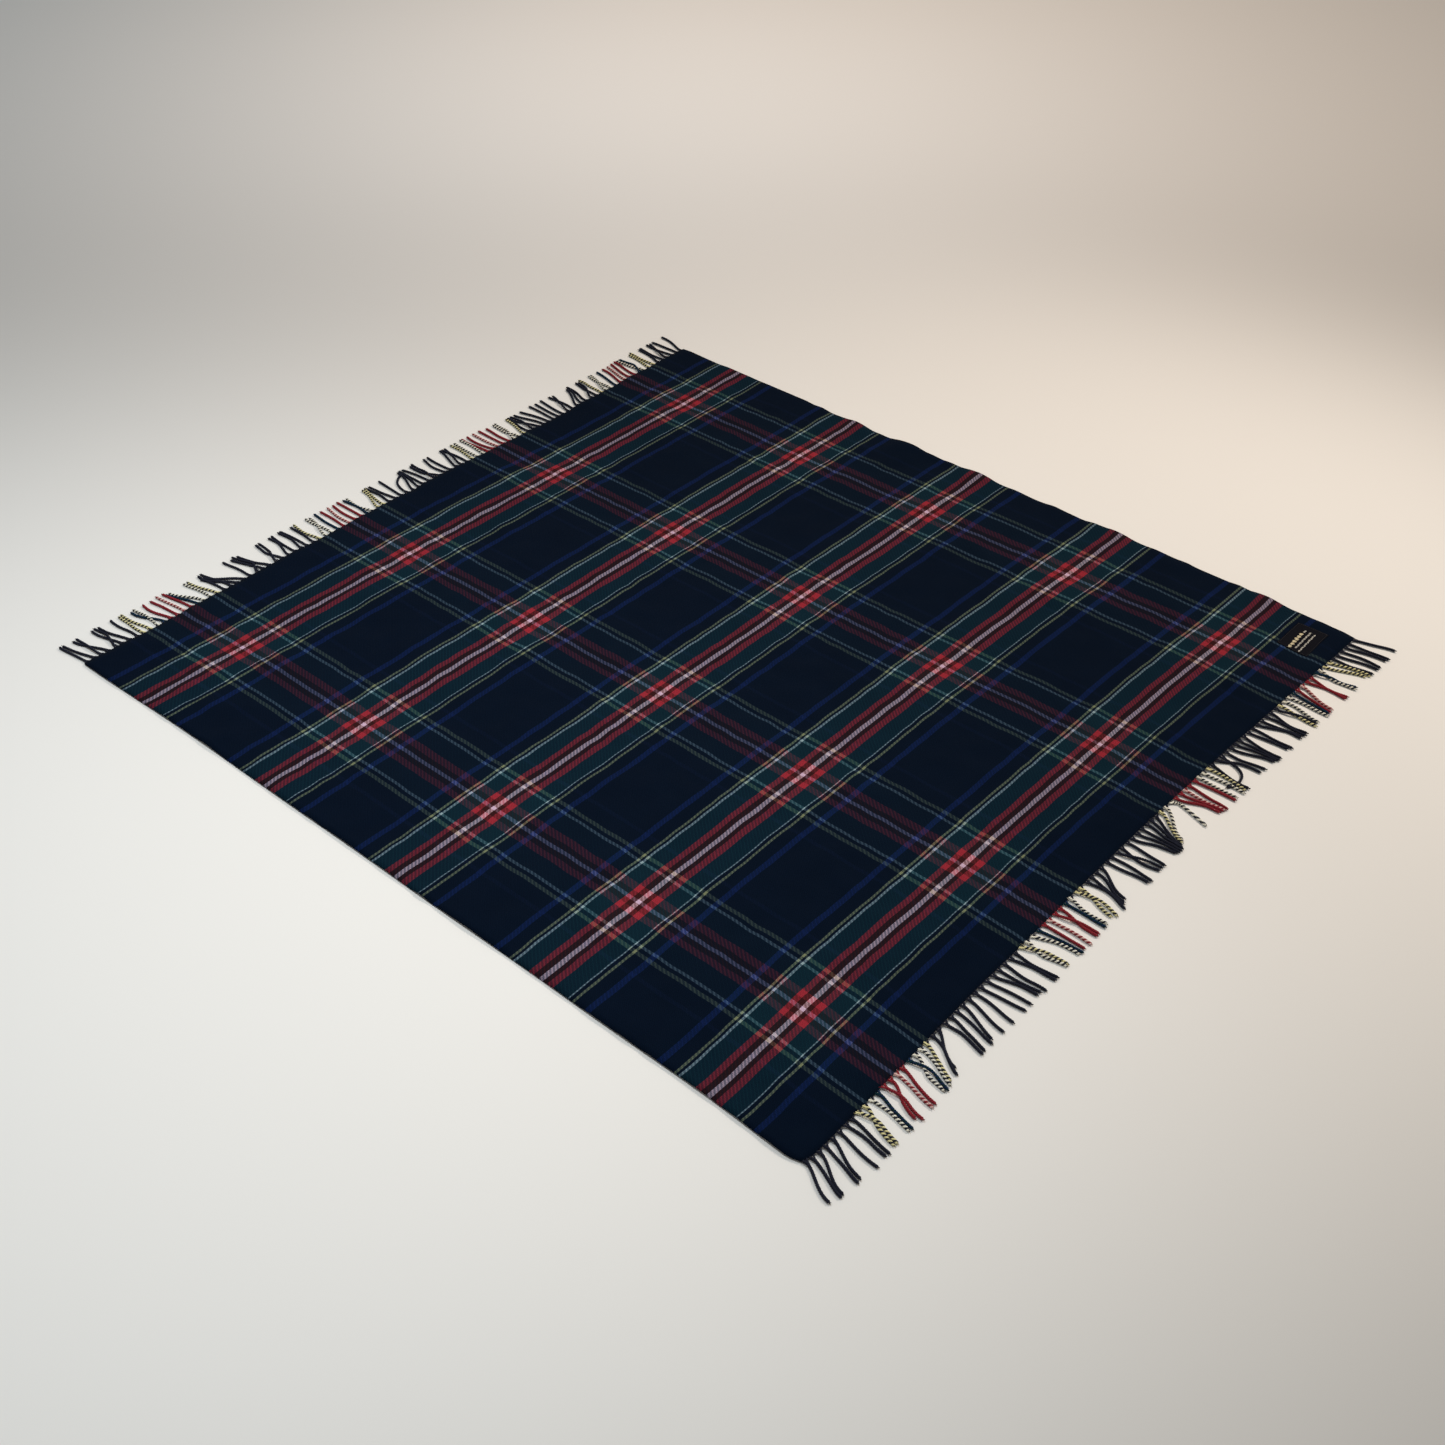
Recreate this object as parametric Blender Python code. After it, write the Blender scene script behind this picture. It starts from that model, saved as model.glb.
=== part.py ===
"""Tartan throw laid open: a fringed twill cloth that folds in half, with a small sewn label.

X runs across the cloth with the weft, Y runs along it with the warp, and Z is up. The origin is
under the middle of the cloth, on the surface it lies on. The near end is at -Y. The near half
turns about the empty fold_axis and lands on the far half.
"""

import math

import bmesh
import bpy

# The cloth, selvedge to selvedge and woven end to woven end.
CLOTH_WIDTH = 1.400
CLOTH_LENGTH = 1.465
CLOTH_THICKNESS = 0.0025
CORNER_RADIUS = 0.006
CORNER_STEPS = 4

# The fold across the middle. Its axis is above the cloth, so that a folded layer clears the other.
FOLD_AXIS_HEIGHT = 0.0075
FOLD_CLEARANCE = 0.001

# The fringe: twisted tassels along both woven ends, joined at the root by a narrow strip.
TASSELS_PER_END = 106
TASSEL_PITCH = CLOTH_WIDTH / TASSELS_PER_END
FRINGE_LENGTH = 0.070
FRINGE_ROOT_STRIP = 0.004
TASSEL_ROOT_WIDTH = 0.0022
TASSEL_BODY_WIDTH = 0.0042
TASSEL_TIP_WIDTH = 0.0028
TASSEL_WIDEST_AT = 0.75

# The warp's colour order: a red band in every repeat, with a green edge on both sides of it.
RED_BAND_REPEAT = 0.351
FIRST_RED_BAND_X = -0.5125
RED_HALF_WIDTH = 0.029
GREEN_HALF_WIDTH = 0.076

# The label, flat on the cloth near the right-hand corner of the near end.
LABEL_SIZE = (0.074, 0.054)
LABEL_CENTRE = (0.6390, -0.6685)
LABEL_THICKNESS = 0.0008
STITCH_INSET = 0.003
STITCH_WIDTH = 0.0012
STITCH_HEIGHT = 0.0005

# Air between pieces that touch in the real throw.
GAP = 0.0003

# Linear base colour and roughness of each finish.
FINISHES = {
    "tartan_cloth": ((0.010, 0.022, 0.040), 0.95),
    "navy_yarn": ((0.006, 0.010, 0.022), 0.95),
    "green_yarn": ((0.008, 0.045, 0.045), 0.95),
    "red_yarn": ((0.300, 0.012, 0.022), 0.95),
    "label_weave": ((0.012, 0.013, 0.018), 0.80),
    "label_thread": ((0.020, 0.020, 0.026), 0.70),
}


def clear_scene():
    """Remove whatever the scene holds."""
    for obj in list(bpy.data.objects):
        bpy.data.objects.remove(obj, do_unlink=True)


def make_finish(name):
    """Return the named finish as a Principled material, making it once."""
    if name in bpy.data.materials:
        return bpy.data.materials[name]
    colour, roughness = FINISHES[name]
    material = bpy.data.materials.new(name)
    material.use_nodes = True
    shader = material.node_tree.nodes["Principled BSDF"]
    shader.inputs["Base Color"].default_value = (*colour, 1.0)
    shader.inputs["Roughness"].default_value = roughness
    shader.inputs["Metallic"].default_value = 0.0
    material.diffuse_color = (*colour, 1.0)
    return material


def add_piece(name, shape, finish, location, turn=0.0):
    """Put a bmesh in the scene as one named object, turned about Z and then moved."""
    bmesh.ops.recalc_face_normals(shape, faces=shape.faces)
    mesh = bpy.data.meshes.new(name)
    shape.to_mesh(mesh)
    shape.free()
    mesh.materials.append(make_finish(finish))
    piece = bpy.data.objects.new(name, mesh)
    piece.location = location
    piece.rotation_euler = (0.0, 0.0, turn)
    bpy.context.collection.objects.link(piece)
    return piece


def hang_on(piece, axis):
    """Parent a piece to an unturned empty and keep it where it is."""
    for i in range(3):
        piece.location[i] -= axis.location[i]
    piece.parent = axis


def slab(outline, height):
    """Return a bmesh of a plan outline, counter-clockwise, raised from z = 0 to a height."""
    shape = bmesh.new()
    base = shape.faces.new([shape.verts.new((x, y, 0.0)) for x, y in outline])
    raised = bmesh.ops.extrude_face_region(shape, geom=[base])
    top = [item for item in raised["geom"] if isinstance(item, bmesh.types.BMVert)]
    bmesh.ops.translate(shape, verts=top, vec=(0.0, 0.0, height))
    return shape


def corner(x, y, start_angle):
    """Return the points of a rounded corner whose arc is centred at (x, y)."""
    points = []
    for step in range(CORNER_STEPS + 1):
        angle = start_angle + 0.5 * math.pi * step / CORNER_STEPS
        points.append((x + CORNER_RADIUS * math.cos(angle), y + CORNER_RADIUS * math.sin(angle)))
    return points


def half_cloth_outline(length):
    """Return half the cloth, with the fold at y = 0 and rounded corners at its woven end."""
    side = CLOTH_WIDTH / 2
    outline = [(-side, 0.0), (side, 0.0)]
    outline += corner(side - CORNER_RADIUS, length - CORNER_RADIUS, 0.0)
    outline += corner(CORNER_RADIUS - side, length - CORNER_RADIUS, 0.5 * math.pi)
    return outline


def fringe_outline(tassels):
    """Return a run of tassels pointing along +Y from a root strip, centred on x = 0."""
    half_run = tassels * TASSEL_PITCH / 2 - GAP / 2
    root = GAP + FRINGE_ROOT_STRIP
    widest = root + TASSEL_WIDEST_AT * (FRINGE_LENGTH - root)
    outline = [(-half_run, GAP), (half_run, GAP), (half_run, root)]
    for tassel in reversed(range(tassels)):
        x = (tassel - (tassels - 1) / 2) * TASSEL_PITCH
        outline += [
            (x + TASSEL_ROOT_WIDTH / 2, root),
            (x + TASSEL_BODY_WIDTH / 2, widest),
            (x + TASSEL_TIP_WIDTH / 2, FRINGE_LENGTH),
            (x - TASSEL_TIP_WIDTH / 2, FRINGE_LENGTH),
            (x - TASSEL_BODY_WIDTH / 2, widest),
            (x - TASSEL_ROOT_WIDTH / 2, root),
        ]
    outline.append((-half_run, root))
    return outline


def tassel_x(tassel):
    """Return the place across the cloth of a tassel, counted from the left selvedge."""
    return (tassel + 0.5) * TASSEL_PITCH - CLOTH_WIDTH / 2


def tassel_colour(tassel):
    """Return the colour of the warp that a tassel is twisted from."""
    from_band = (tassel_x(tassel) - FIRST_RED_BAND_X) % RED_BAND_REPEAT
    from_band = min(from_band, RED_BAND_REPEAT - from_band)
    if from_band < RED_HALF_WIDTH:
        return "red"
    if from_band < GREEN_HALF_WIDTH:
        return "green"
    return "navy"


def fringe_runs():
    """Return (colour, first tassel, count) for each run of one colour, left to right."""
    runs = []
    for tassel in range(TASSELS_PER_END):
        colour = tassel_colour(tassel)
        if runs and runs[-1][0] == colour:
            runs[-1][2] += 1
        else:
            runs.append([colour, tassel, 1])
    return runs


def frame_shape(size, width, height):
    """Return a bmesh of a flat rectangular frame of square-cut thread, from z = 0 up."""
    shape = bmesh.new()
    rings = []
    for inset in (0.0, width):
        x = size[0] / 2 - inset
        y = size[1] / 2 - inset
        for z in (0.0, height):
            rings.append([shape.verts.new(p) for p in ((-x, -y, z), (x, -y, z), (x, y, z), (-x, y, z))])
    outer_low, outer_high, inner_low, inner_high = rings
    for low, high in (
        (outer_low, outer_high),
        (outer_high, inner_high),
        (inner_high, inner_low),
        (inner_low, outer_low),
    ):
        for i in range(4):
            j = (i + 1) % 4
            shape.faces.new((low[i], low[j], high[j], high[i]))
    return shape


def build_cloth(fold_axis):
    """Make the two halves of the cloth, one on each side of the fold."""
    length = CLOTH_LENGTH / 2 - FOLD_CLEARANCE
    far = slab(half_cloth_outline(length), CLOTH_THICKNESS)
    add_piece("far_cloth", far, "tartan_cloth", (0.0, FOLD_CLEARANCE, 0.0))
    near = slab(half_cloth_outline(length), CLOTH_THICKNESS)
    piece = add_piece("near_cloth", near, "tartan_cloth", (0.0, -FOLD_CLEARANCE, 0.0), math.pi)
    hang_on(piece, fold_axis)


def build_fringes(fold_axis):
    """Make one piece for each run of tassels of one colour, at both woven ends."""
    counts = {}
    for colour, first, count in fringe_runs():
        counts[colour] = counts.get(colour, 0) + 1
        run_name = f"fringe_{colour}_{counts[colour]}"
        middle = (tassel_x(first) + tassel_x(first + count - 1)) / 2
        finish = f"{colour}_yarn"
        far = slab(fringe_outline(count), CLOTH_THICKNESS)
        add_piece(f"far_{run_name}", far, finish, (middle, CLOTH_LENGTH / 2, 0.0))
        near = slab(fringe_outline(count), CLOTH_THICKNESS)
        piece = add_piece(f"near_{run_name}", near, finish, (middle, -CLOTH_LENGTH / 2, 0.0), math.pi)
        hang_on(piece, fold_axis)


def build_label(fold_axis):
    """Make the label and the line of thread that holds it to the near half."""
    half_x = LABEL_SIZE[0] / 2
    half_y = LABEL_SIZE[1] / 2
    outline = [(-half_x, -half_y), (half_x, -half_y), (half_x, half_y), (-half_x, half_y)]
    label_z = CLOTH_THICKNESS + GAP
    label = slab(outline, LABEL_THICKNESS)
    hang_on(add_piece("woven_label", label, "label_weave", (*LABEL_CENTRE, label_z)), fold_axis)
    stitch_size = (LABEL_SIZE[0] - 2 * STITCH_INSET, LABEL_SIZE[1] - 2 * STITCH_INSET)
    stitching = frame_shape(stitch_size, STITCH_WIDTH, STITCH_HEIGHT)
    stitch_z = label_z + LABEL_THICKNESS + GAP
    piece = add_piece("label_stitching", stitching, "label_thread", (*LABEL_CENTRE, stitch_z))
    hang_on(piece, fold_axis)


def main():
    """Build the throw."""
    clear_scene()
    fold_axis = bpy.data.objects.new("fold_axis", None)
    fold_axis.location = (0.0, 0.0, FOLD_AXIS_HEIGHT)
    bpy.context.collection.objects.link(fold_axis)
    build_cloth(fold_axis)
    build_fringes(fold_axis)
    build_label(fold_axis)


main()
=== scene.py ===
"""The looks of a fringed tartan throw that lies open on a pale studio floor.

The throw is one twill cloth that folds across its middle, a row of twisted tassels along both woven
ends, and a small sewn label. Everything is in metres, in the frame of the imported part: X runs along
the weft, Y along the warp, Z up. On the cloth, "across" is the distance from the left selvedge and
"down" is the distance from the far woven end.
"""

import logging
import math
from dataclasses import dataclass, field
from enum import Enum

import bpy
import numpy as np
from mathutils import Euler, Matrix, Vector


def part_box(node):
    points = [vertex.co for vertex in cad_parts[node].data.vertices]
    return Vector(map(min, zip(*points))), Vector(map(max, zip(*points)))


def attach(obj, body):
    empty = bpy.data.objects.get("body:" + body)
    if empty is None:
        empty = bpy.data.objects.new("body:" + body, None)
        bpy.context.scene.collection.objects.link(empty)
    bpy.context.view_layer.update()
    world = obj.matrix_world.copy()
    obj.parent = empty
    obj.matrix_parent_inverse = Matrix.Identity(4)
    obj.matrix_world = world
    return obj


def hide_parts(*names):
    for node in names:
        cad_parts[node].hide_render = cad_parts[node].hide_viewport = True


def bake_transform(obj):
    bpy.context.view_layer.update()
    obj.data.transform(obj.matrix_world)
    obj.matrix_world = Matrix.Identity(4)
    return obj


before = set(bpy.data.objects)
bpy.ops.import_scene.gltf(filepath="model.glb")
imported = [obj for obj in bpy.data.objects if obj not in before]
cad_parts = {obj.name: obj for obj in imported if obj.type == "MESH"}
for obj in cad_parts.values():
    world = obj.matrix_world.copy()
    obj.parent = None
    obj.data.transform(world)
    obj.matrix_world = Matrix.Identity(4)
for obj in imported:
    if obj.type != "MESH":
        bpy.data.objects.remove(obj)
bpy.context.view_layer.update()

NEAR_BODY = "near_half"
CLOTH_UV = "cloth_cut"
LABEL_UV = "label_cut"
YARN_ATTRIBUTE = "yarn"
SIDE_ATTRIBUTE = "side"
# The tassel yarn's colour attribute holds a dye with painted light and shade in it.
LIT_DYE_ATTRIBUTE = "dye"

# The exponent between light and the scale on which two dyes mix evenly to the eye.
DYE_SCALE = 5.0

log = logging.getLogger("throw")

Socket = bpy.types.NodeSocket
Value = Socket | float | tuple


def smoothstep(low: float, high: float, value: np.ndarray) -> np.ndarray:
    """Rise smoothly from 0 at low to 1 at high.

    Args:
        low: Where the step starts.
        high: Where the step ends.
        value: The numbers to map.

    Returns:
        The mapped numbers, from 0 to 1.
    """
    share = np.clip((value - low) / (high - low), 0.0, 1.0)
    return share * share * (3.0 - 2.0 * share)


class NodeSketch:
    """Adds nodes to one tree and wires them up."""

    def __init__(self, tree: bpy.types.NodeTree) -> None:
        """Keep the tree that the nodes go in."""
        self.tree = tree

    def add(
        self, kind: str, inputs: dict[str | int, Value] | None = None, **settings: object
    ) -> bpy.types.Node:
        """Add one node.

        Args:
            kind: The node's type name.
            inputs: A socket or a constant for each named or numbered input.
            settings: The node's own properties.

        Returns:
            The new node.
        """
        node = self.tree.nodes.new(kind)
        for name, setting in settings.items():
            setattr(node, name, setting)
        for name, value in (inputs or {}).items():
            if isinstance(value, Socket):
                self.tree.links.new(value, node.inputs[name])
            else:
                node.inputs[name].default_value = value
        return node

    def math(self, operation: str, *values: Value, clamp: bool = False) -> Socket:
        """Add one step of arithmetic.

        Args:
            operation: The Math node's operation.
            values: Its one to three inputs.
            clamp: Whether the result stays from 0 to 1.

        Returns:
            The result's socket.
        """
        settings = {"operation": operation, "use_clamp": clamp}
        return self.add("ShaderNodeMath", dict(enumerate(values)), **settings).outputs[0]

    def vector(self, operation: str, *values: Value) -> Socket:
        """Add one step of vector arithmetic.

        Args:
            operation: The Vector Math node's operation.
            values: Its inputs, in order. A scale goes in with the name Scale.

        Returns:
            The resulting vector's socket.
        """
        inputs: dict[str | int, Value] = dict(enumerate(values))
        if operation == "SCALE":
            inputs = {0: values[0], "Scale": values[1]}
        return self.add("ShaderNodeVectorMath", inputs, operation=operation).outputs[0]

    def split(self, vector: Socket) -> tuple[Socket, Socket, Socket]:
        """Split a vector into its three numbers."""
        node = self.add("ShaderNodeSeparateXYZ", {0: vector})
        return node.outputs[0], node.outputs[1], node.outputs[2]

    def join(self, x: Value, y: Value, z: Value = 0.0) -> Socket:
        """Join three numbers into a vector."""
        return self.add("ShaderNodeCombineXYZ", {0: x, 1: y, 2: z}).outputs[0]

    def ease(
        self, value: Value, low: Value, high: Value, start: Value = 0.0, end: Value = 1.0
    ) -> Socket:
        """Map a range onto another with a smooth step.

        Args:
            value: The number to map.
            low: Where the step starts.
            high: Where the step ends.
            start: The result up to low.
            end: The result from high on.

        Returns:
            The mapped number's socket.
        """
        inputs = {"Value": value, "From Min": low, "From Max": high, "To Min": start, "To Max": end}
        node = self.add("ShaderNodeMapRange", inputs, interpolation_type="SMOOTHSTEP")
        return node.outputs["Result"]

    def noise(self, place: Socket, scale: float, detail: float = 2.0) -> bpy.types.NodeOutputs:
        """Add noise, and return its outputs."""
        inputs = {"Vector": place, "Scale": scale, "Detail": detail}
        return self.add("ShaderNodeTexNoise", inputs).outputs

    def read(self, name: str, kind: str = "FLOAT") -> Socket:
        """Read what points carry under a name, in a Geometry Nodes tree."""
        node = self.add("GeometryNodeInputNamedAttribute", {"Name": name}, data_type=kind)
        return node.outputs[0]

    def paint(self, shader: bpy.types.Node, colour: Value, shade_and_tone: Socket | None = None) -> None:
        """Give a shader its colour, made lighter or darker by a factor that holds painted shade."""
        shaded = colour if shade_and_tone is None else self.vector("SCALE", colour, shade_and_tone)
        self.tree.links.new(shaded, shader.inputs["Base Color"])

    def emboss(self, shader: bpy.types.Node, height: Socket, depth: float, strength: float) -> None:
        """Let a height from 0 to 1 shape a shader's surface to a depth in metres."""
        inputs = {"Height": height, "Distance": depth, "Strength": strength}
        bump = self.add("ShaderNodeBump", inputs)
        self.tree.links.new(bump.outputs[0], shader.inputs["Normal"])


def as_light(colour: tuple[float, float, float]) -> tuple[float, float, float]:
    """Turn a colour as a screen shows it, from 0 to 1, into light."""
    return tuple(((c + 0.055) / 1.055) ** 2.4 if c > 0.04045 else c / 12.92 for c in colour)


class Dye(Enum):
    """The yarn colours: first as they show woven in, then loose in a tassel with painted light and
    shade.
    """

    # Second colours have painted light and shade: navy made lighter as if lit all round, red darker
    # for shade in the twist.
    NAVY = ((0.026, 0.066, 0.125), (0.150, 0.160, 0.210))
    INK = ((0.045, 0.088, 0.180), (0.130, 0.170, 0.260))
    GREEN = ((0.050, 0.153, 0.196), (0.085, 0.185, 0.220))
    PINE = ((0.042, 0.105, 0.155), (0.085, 0.165, 0.195))
    RED = ((0.560, 0.160, 0.205), (0.540, 0.180, 0.215))
    MAROON = ((0.200, 0.092, 0.097), (0.300, 0.120, 0.150))
    WHITE = ((0.530, 0.620, 0.650), (0.950, 0.940, 0.880))
    YELLOW = ((0.440, 0.470, 0.360), (0.900, 0.870, 0.660))
    BLUE = ((0.056, 0.121, 0.297), (0.120, 0.190, 0.310))
    PINK = ((0.800, 0.680, 0.740), (0.800, 0.600, 0.660))
    LILAC = ((0.690, 0.600, 0.750), (0.880, 0.740, 0.720))

    @property
    def woven(self) -> tuple[float, float, float]:
        """Return the dye as it shows in the cloth."""
        return self.value[0]

    @property
    def loose(self) -> tuple[float, float, float]:
        """Return the dye loose in a tassel as light, with painted light and shade in it."""
        return as_light(self.value[1])

    def on_scale(self) -> tuple[float, float, float, float]:
        """Return the woven dye on the scale that dyes are mixed on."""
        return (*(c ** (1.0 / DYE_SCALE) for c in as_light(self.woven)), 1.0)


@dataclass(frozen=True)
class ThreadOrder:
    """The colour order of one set of threads, which is the same on both sides of each red band."""

    repeat: float
    first_centre: float
    threads: int
    half_order: tuple[tuple[Dye, float], ...]

    @property
    def pitch(self) -> float:
        """Return the distance between two threads."""
        return self.repeat / self.threads

    def group(self, name: str) -> bpy.types.NodeTree:
        """Return a node group that gives a thread's colour from its place, making it once.

        Args:
            name: The group's name.

        Returns:
            The group, with the input Place in metres and the output Colour.
        """
        if name in bpy.data.node_groups:
            return bpy.data.node_groups[name]
        tree = bpy.data.node_groups.new(name, "ShaderNodeTree")
        tree.interface.new_socket("Place", in_out="INPUT", socket_type="NodeSocketFloat")
        tree.interface.new_socket("Colour", in_out="OUTPUT", socket_type="NodeSocketColor")
        sketch = NodeSketch(tree)
        start = sketch.add("NodeGroupInput")
        offset = sketch.math("SUBTRACT", start.outputs["Place"], self.first_centre)
        from_centre = sketch.math("PINGPONG", offset, self.repeat / 2)
        share = sketch.math("DIVIDE", from_centre, self.repeat / 2)
        ramp = sketch.add("ShaderNodeValToRGB", {"Fac": share})
        ramp.color_ramp.interpolation = "CONSTANT"
        reached = 0.0
        for number, (dye, count) in enumerate(self.half_order):
            if number < 2:
                stop = ramp.color_ramp.elements[number]
                stop.position = reached
            else:
                stop = ramp.color_ramp.elements.new(reached)
            stop.color = dye.on_scale()
            reached += count / (self.threads / 2)
        end = sketch.add("NodeGroupOutput")
        tree.links.new(ramp.outputs["Color"], end.inputs["Colour"])
        return tree


WARP = ThreadOrder(
    repeat=0.351,
    first_centre=0.1875,
    threads=216,
    half_order=(
        (Dye.LILAC, 2.0),
        (Dye.MAROON, 6.0),
        (Dye.RED, 7.5),
        (Dye.PINE, 18.5),
        (Dye.WHITE, 3.5),
        (Dye.NAVY, 4.0),
        (Dye.YELLOW, 3.5),
        (Dye.NAVY, 16.5),
        (Dye.INK, 4.0),
        (Dye.NAVY, 42.5),
    ),
)

WEFT = ThreadOrder(
    repeat=0.289,
    first_centre=0.1495,
    threads=156,
    half_order=(
        (Dye.PINK, 1.6),
        (Dye.MAROON, 4.6),
        (Dye.RED, 5.6),
        (Dye.GREEN, 14.0),
        (Dye.WHITE, 1.9),
        (Dye.NAVY, 2.4),
        (Dye.YELLOW, 1.7),
        (Dye.NAVY, 10.8),
        (Dye.BLUE, 4.4),
        (Dye.NAVY, 31.0),
    ),
)


@dataclass(frozen=True)
class ClothSheen:
    """The constant surface values of a woollen finish."""

    roughness: float = 0.95
    specular: float = 0.01
    sheen: float = 0.012
    sheen_roughness: float = 0.5

    def dress(self, shader: bpy.types.Node) -> None:
        """Set the values on a shader's own sockets."""
        shader.inputs["Roughness"].default_value = self.roughness
        shader.inputs["Specular IOR Level"].default_value = self.specular
        shader.inputs["Sheen Weight"].default_value = self.sheen
        shader.inputs["Sheen Roughness"].default_value = self.sheen_roughness


def new_material(name: str, swatch: Dye) -> tuple[bpy.types.Material, NodeSketch, bpy.types.Node]:
    """Start a material.

    Args:
        name: The material's name.
        swatch: The colour that a plain view shows.

    Returns:
        The material, a sketch of its tree, and its shader.
    """
    material = bpy.data.materials.new(name)
    material.use_nodes = True
    material.diffuse_color = (*swatch.woven, 1.0)
    return material, NodeSketch(material.node_tree), material.node_tree.nodes["Principled BSDF"]


@dataclass(frozen=True)
class TwillFinish:
    """A brushed two-and-two twill, woven thread by thread from the warp and weft colour orders."""

    name: str = "tartan_twill"
    weft_over: float = 0.76
    warp_over: float = 0.56
    wander: float = 0.0002
    nap_spread: float = 0.16
    relief: float = 0.0005
    sheen: ClothSheen = field(default_factory=ClothSheen)

    def material(self) -> bpy.types.Material:
        """Build the finish.

        Returns:
            The material.
        """
        material, sketch, shader = new_material(self.name, Dye.NAVY)
        uv = sketch.add("ShaderNodeUVMap", uv_map=CLOTH_UV).outputs["UV"]
        across, down = self.wandering(sketch, uv)
        ends = sketch.math("DIVIDE", across, WARP.pitch)
        picks = sketch.math("DIVIDE", down, WEFT.pitch)
        end, pick = sketch.math("FLOOR", ends), sketch.math("FLOOR", picks)
        warp = self.thread_colour(sketch, WARP, "warp_order", end)
        weft = self.thread_colour(sketch, WEFT, "weft_order", pick)

        phase = sketch.math("FLOORED_MODULO", sketch.math("ADD", end, pick), 4.0)
        weft_up = sketch.math("LESS_THAN", phase, 1.5)
        nap = self.nap(sketch, uv)
        spread = sketch.math("MULTIPLY", sketch.math("SUBTRACT", nap, 0.5), self.nap_spread)
        gain = self.weft_over - self.warp_over
        share = sketch.math("MULTIPLY_ADD", weft_up, gain, self.warp_over)
        share = sketch.math("ADD", share, spread, clamp=True)
        mix = sketch.add("ShaderNodeMix", {"Factor": share}, data_type="RGBA")
        sketch.tree.links.new(warp, mix.inputs[6])
        sketch.tree.links.new(weft, mix.inputs[7])
        light = sketch.add("ShaderNodeGamma", {0: mix.outputs[2], 1: DYE_SCALE}).outputs[0]

        height = self.relief_height(sketch, ends, picks, end, pick, weft_up)
        sketch.paint(shader, light, self.shade_and_tone(sketch, uv, height, nap))
        sketch.emboss(shader, sketch.math("MULTIPLY_ADD", nap, 0.5, height), self.relief, 0.8)
        self.sheen.dress(shader)
        return material

    def wandering(self, sketch: NodeSketch, uv: Socket) -> tuple[Socket, Socket]:
        """Let the threads stray a little from straight lines.

        Args:
            sketch: The tree.
            uv: The place on the cut cloth.

        Returns:
            The places across and down the cloth.
        """
        drift = sketch.noise(uv, 45.0, detail=3.0)
        centred = sketch.vector("SUBTRACT", drift["Color"], (0.5, 0.5, 0.5))
        moved = sketch.vector("ADD", uv, sketch.vector("SCALE", centred, self.wander * 4))
        across, down, _ = sketch.split(moved)
        return across, down

    def thread_colour(
        self, sketch: NodeSketch, order: ThreadOrder, name: str, index: Socket
    ) -> Socket:
        """Look up the colour of a thread by its number.

        Args:
            sketch: The tree.
            order: The colour order that the thread belongs to.
            name: The name of that order's node group.
            index: The thread's number from the cloth's edge.

        Returns:
            The colour, on the dye scale.
        """
        place = sketch.math("MULTIPLY", sketch.math("ADD", index, 0.5), order.pitch)
        group = sketch.add("ShaderNodeGroup", node_tree=order.group(name))
        sketch.tree.links.new(place, group.inputs["Place"])
        return group.outputs["Colour"]

    def nap(self, sketch: NodeSketch, uv: Socket) -> Socket:
        """Add the short loose fibres that brushing raises, which lie mostly along the weft."""
        stretched = sketch.vector("MULTIPLY", uv, (0.35, 1.0, 1.0))
        inputs = {"Vector": stretched, "Scale": 900.0, "Detail": 3.0, "Roughness": 0.65}
        return sketch.add("ShaderNodeTexNoise", inputs).outputs["Fac"]

    def relief_height(
        self,
        sketch: NodeSketch,
        ends: Socket,
        picks: Socket,
        end: Socket,
        pick: Socket,
        weft_up: Socket,
    ) -> Socket:
        """Work out how high the top thread stands, from 0 between threads to 1 on a float's crown.

        Args:
            sketch: The tree.
            ends: The place across the cloth, in warp threads.
            picks: The place down the cloth, in weft threads.
            end: The warp thread's number.
            pick: The weft thread's number.
            weft_up: 1 where the weft is on top, 0 where the warp is.

        Returns:
            The height.
        """
        heights = []
        for along, number, over in ((picks, end, ends), (ends, pick, picks)):
            float_phase = sketch.math("FLOORED_MODULO", sketch.math("ADD", along, number), 2.0)
            crown = sketch.math("SINE", sketch.math("MULTIPLY", float_phase, math.pi / 2))
            side = sketch.math("SINE", sketch.math("MULTIPLY", sketch.math("FRACT", over), math.pi))
            heights.append(sketch.math("MULTIPLY", sketch.math("POWER", crown, 0.5), side))
        difference = sketch.math("SUBTRACT", heights[1], heights[0])
        return sketch.math("MULTIPLY_ADD", difference, weft_up, heights[0])

    def shade_and_tone(self, sketch: NodeSketch, uv: Socket, height: Socket, nap: Socket) -> Socket:
        """Work out how light or dark the cloth is besides its dyes, with painted shade between
        threads.

        Args:
            sketch: The tree.
            uv: The place on the cut cloth.
            height: How high the top thread stands.
            nap: The raised fibres.

        Returns:
            The factor for the colour, near 1, darker between threads as painted shade.
        """
        # Painted shade: darker between the threads, lighter on their crowns.
        groove_shade = sketch.math("MULTIPLY_ADD", height, 0.45, 0.78)
        fuzz = sketch.math("MULTIPLY_ADD", nap, 0.7, 0.65)
        patch = sketch.math("MULTIPLY_ADD", sketch.noise(uv, 14.0, detail=4.0)["Fac"], 0.3, 0.85)
        return sketch.math("MULTIPLY", sketch.math("MULTIPLY", groove_shade, fuzz), patch)


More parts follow.
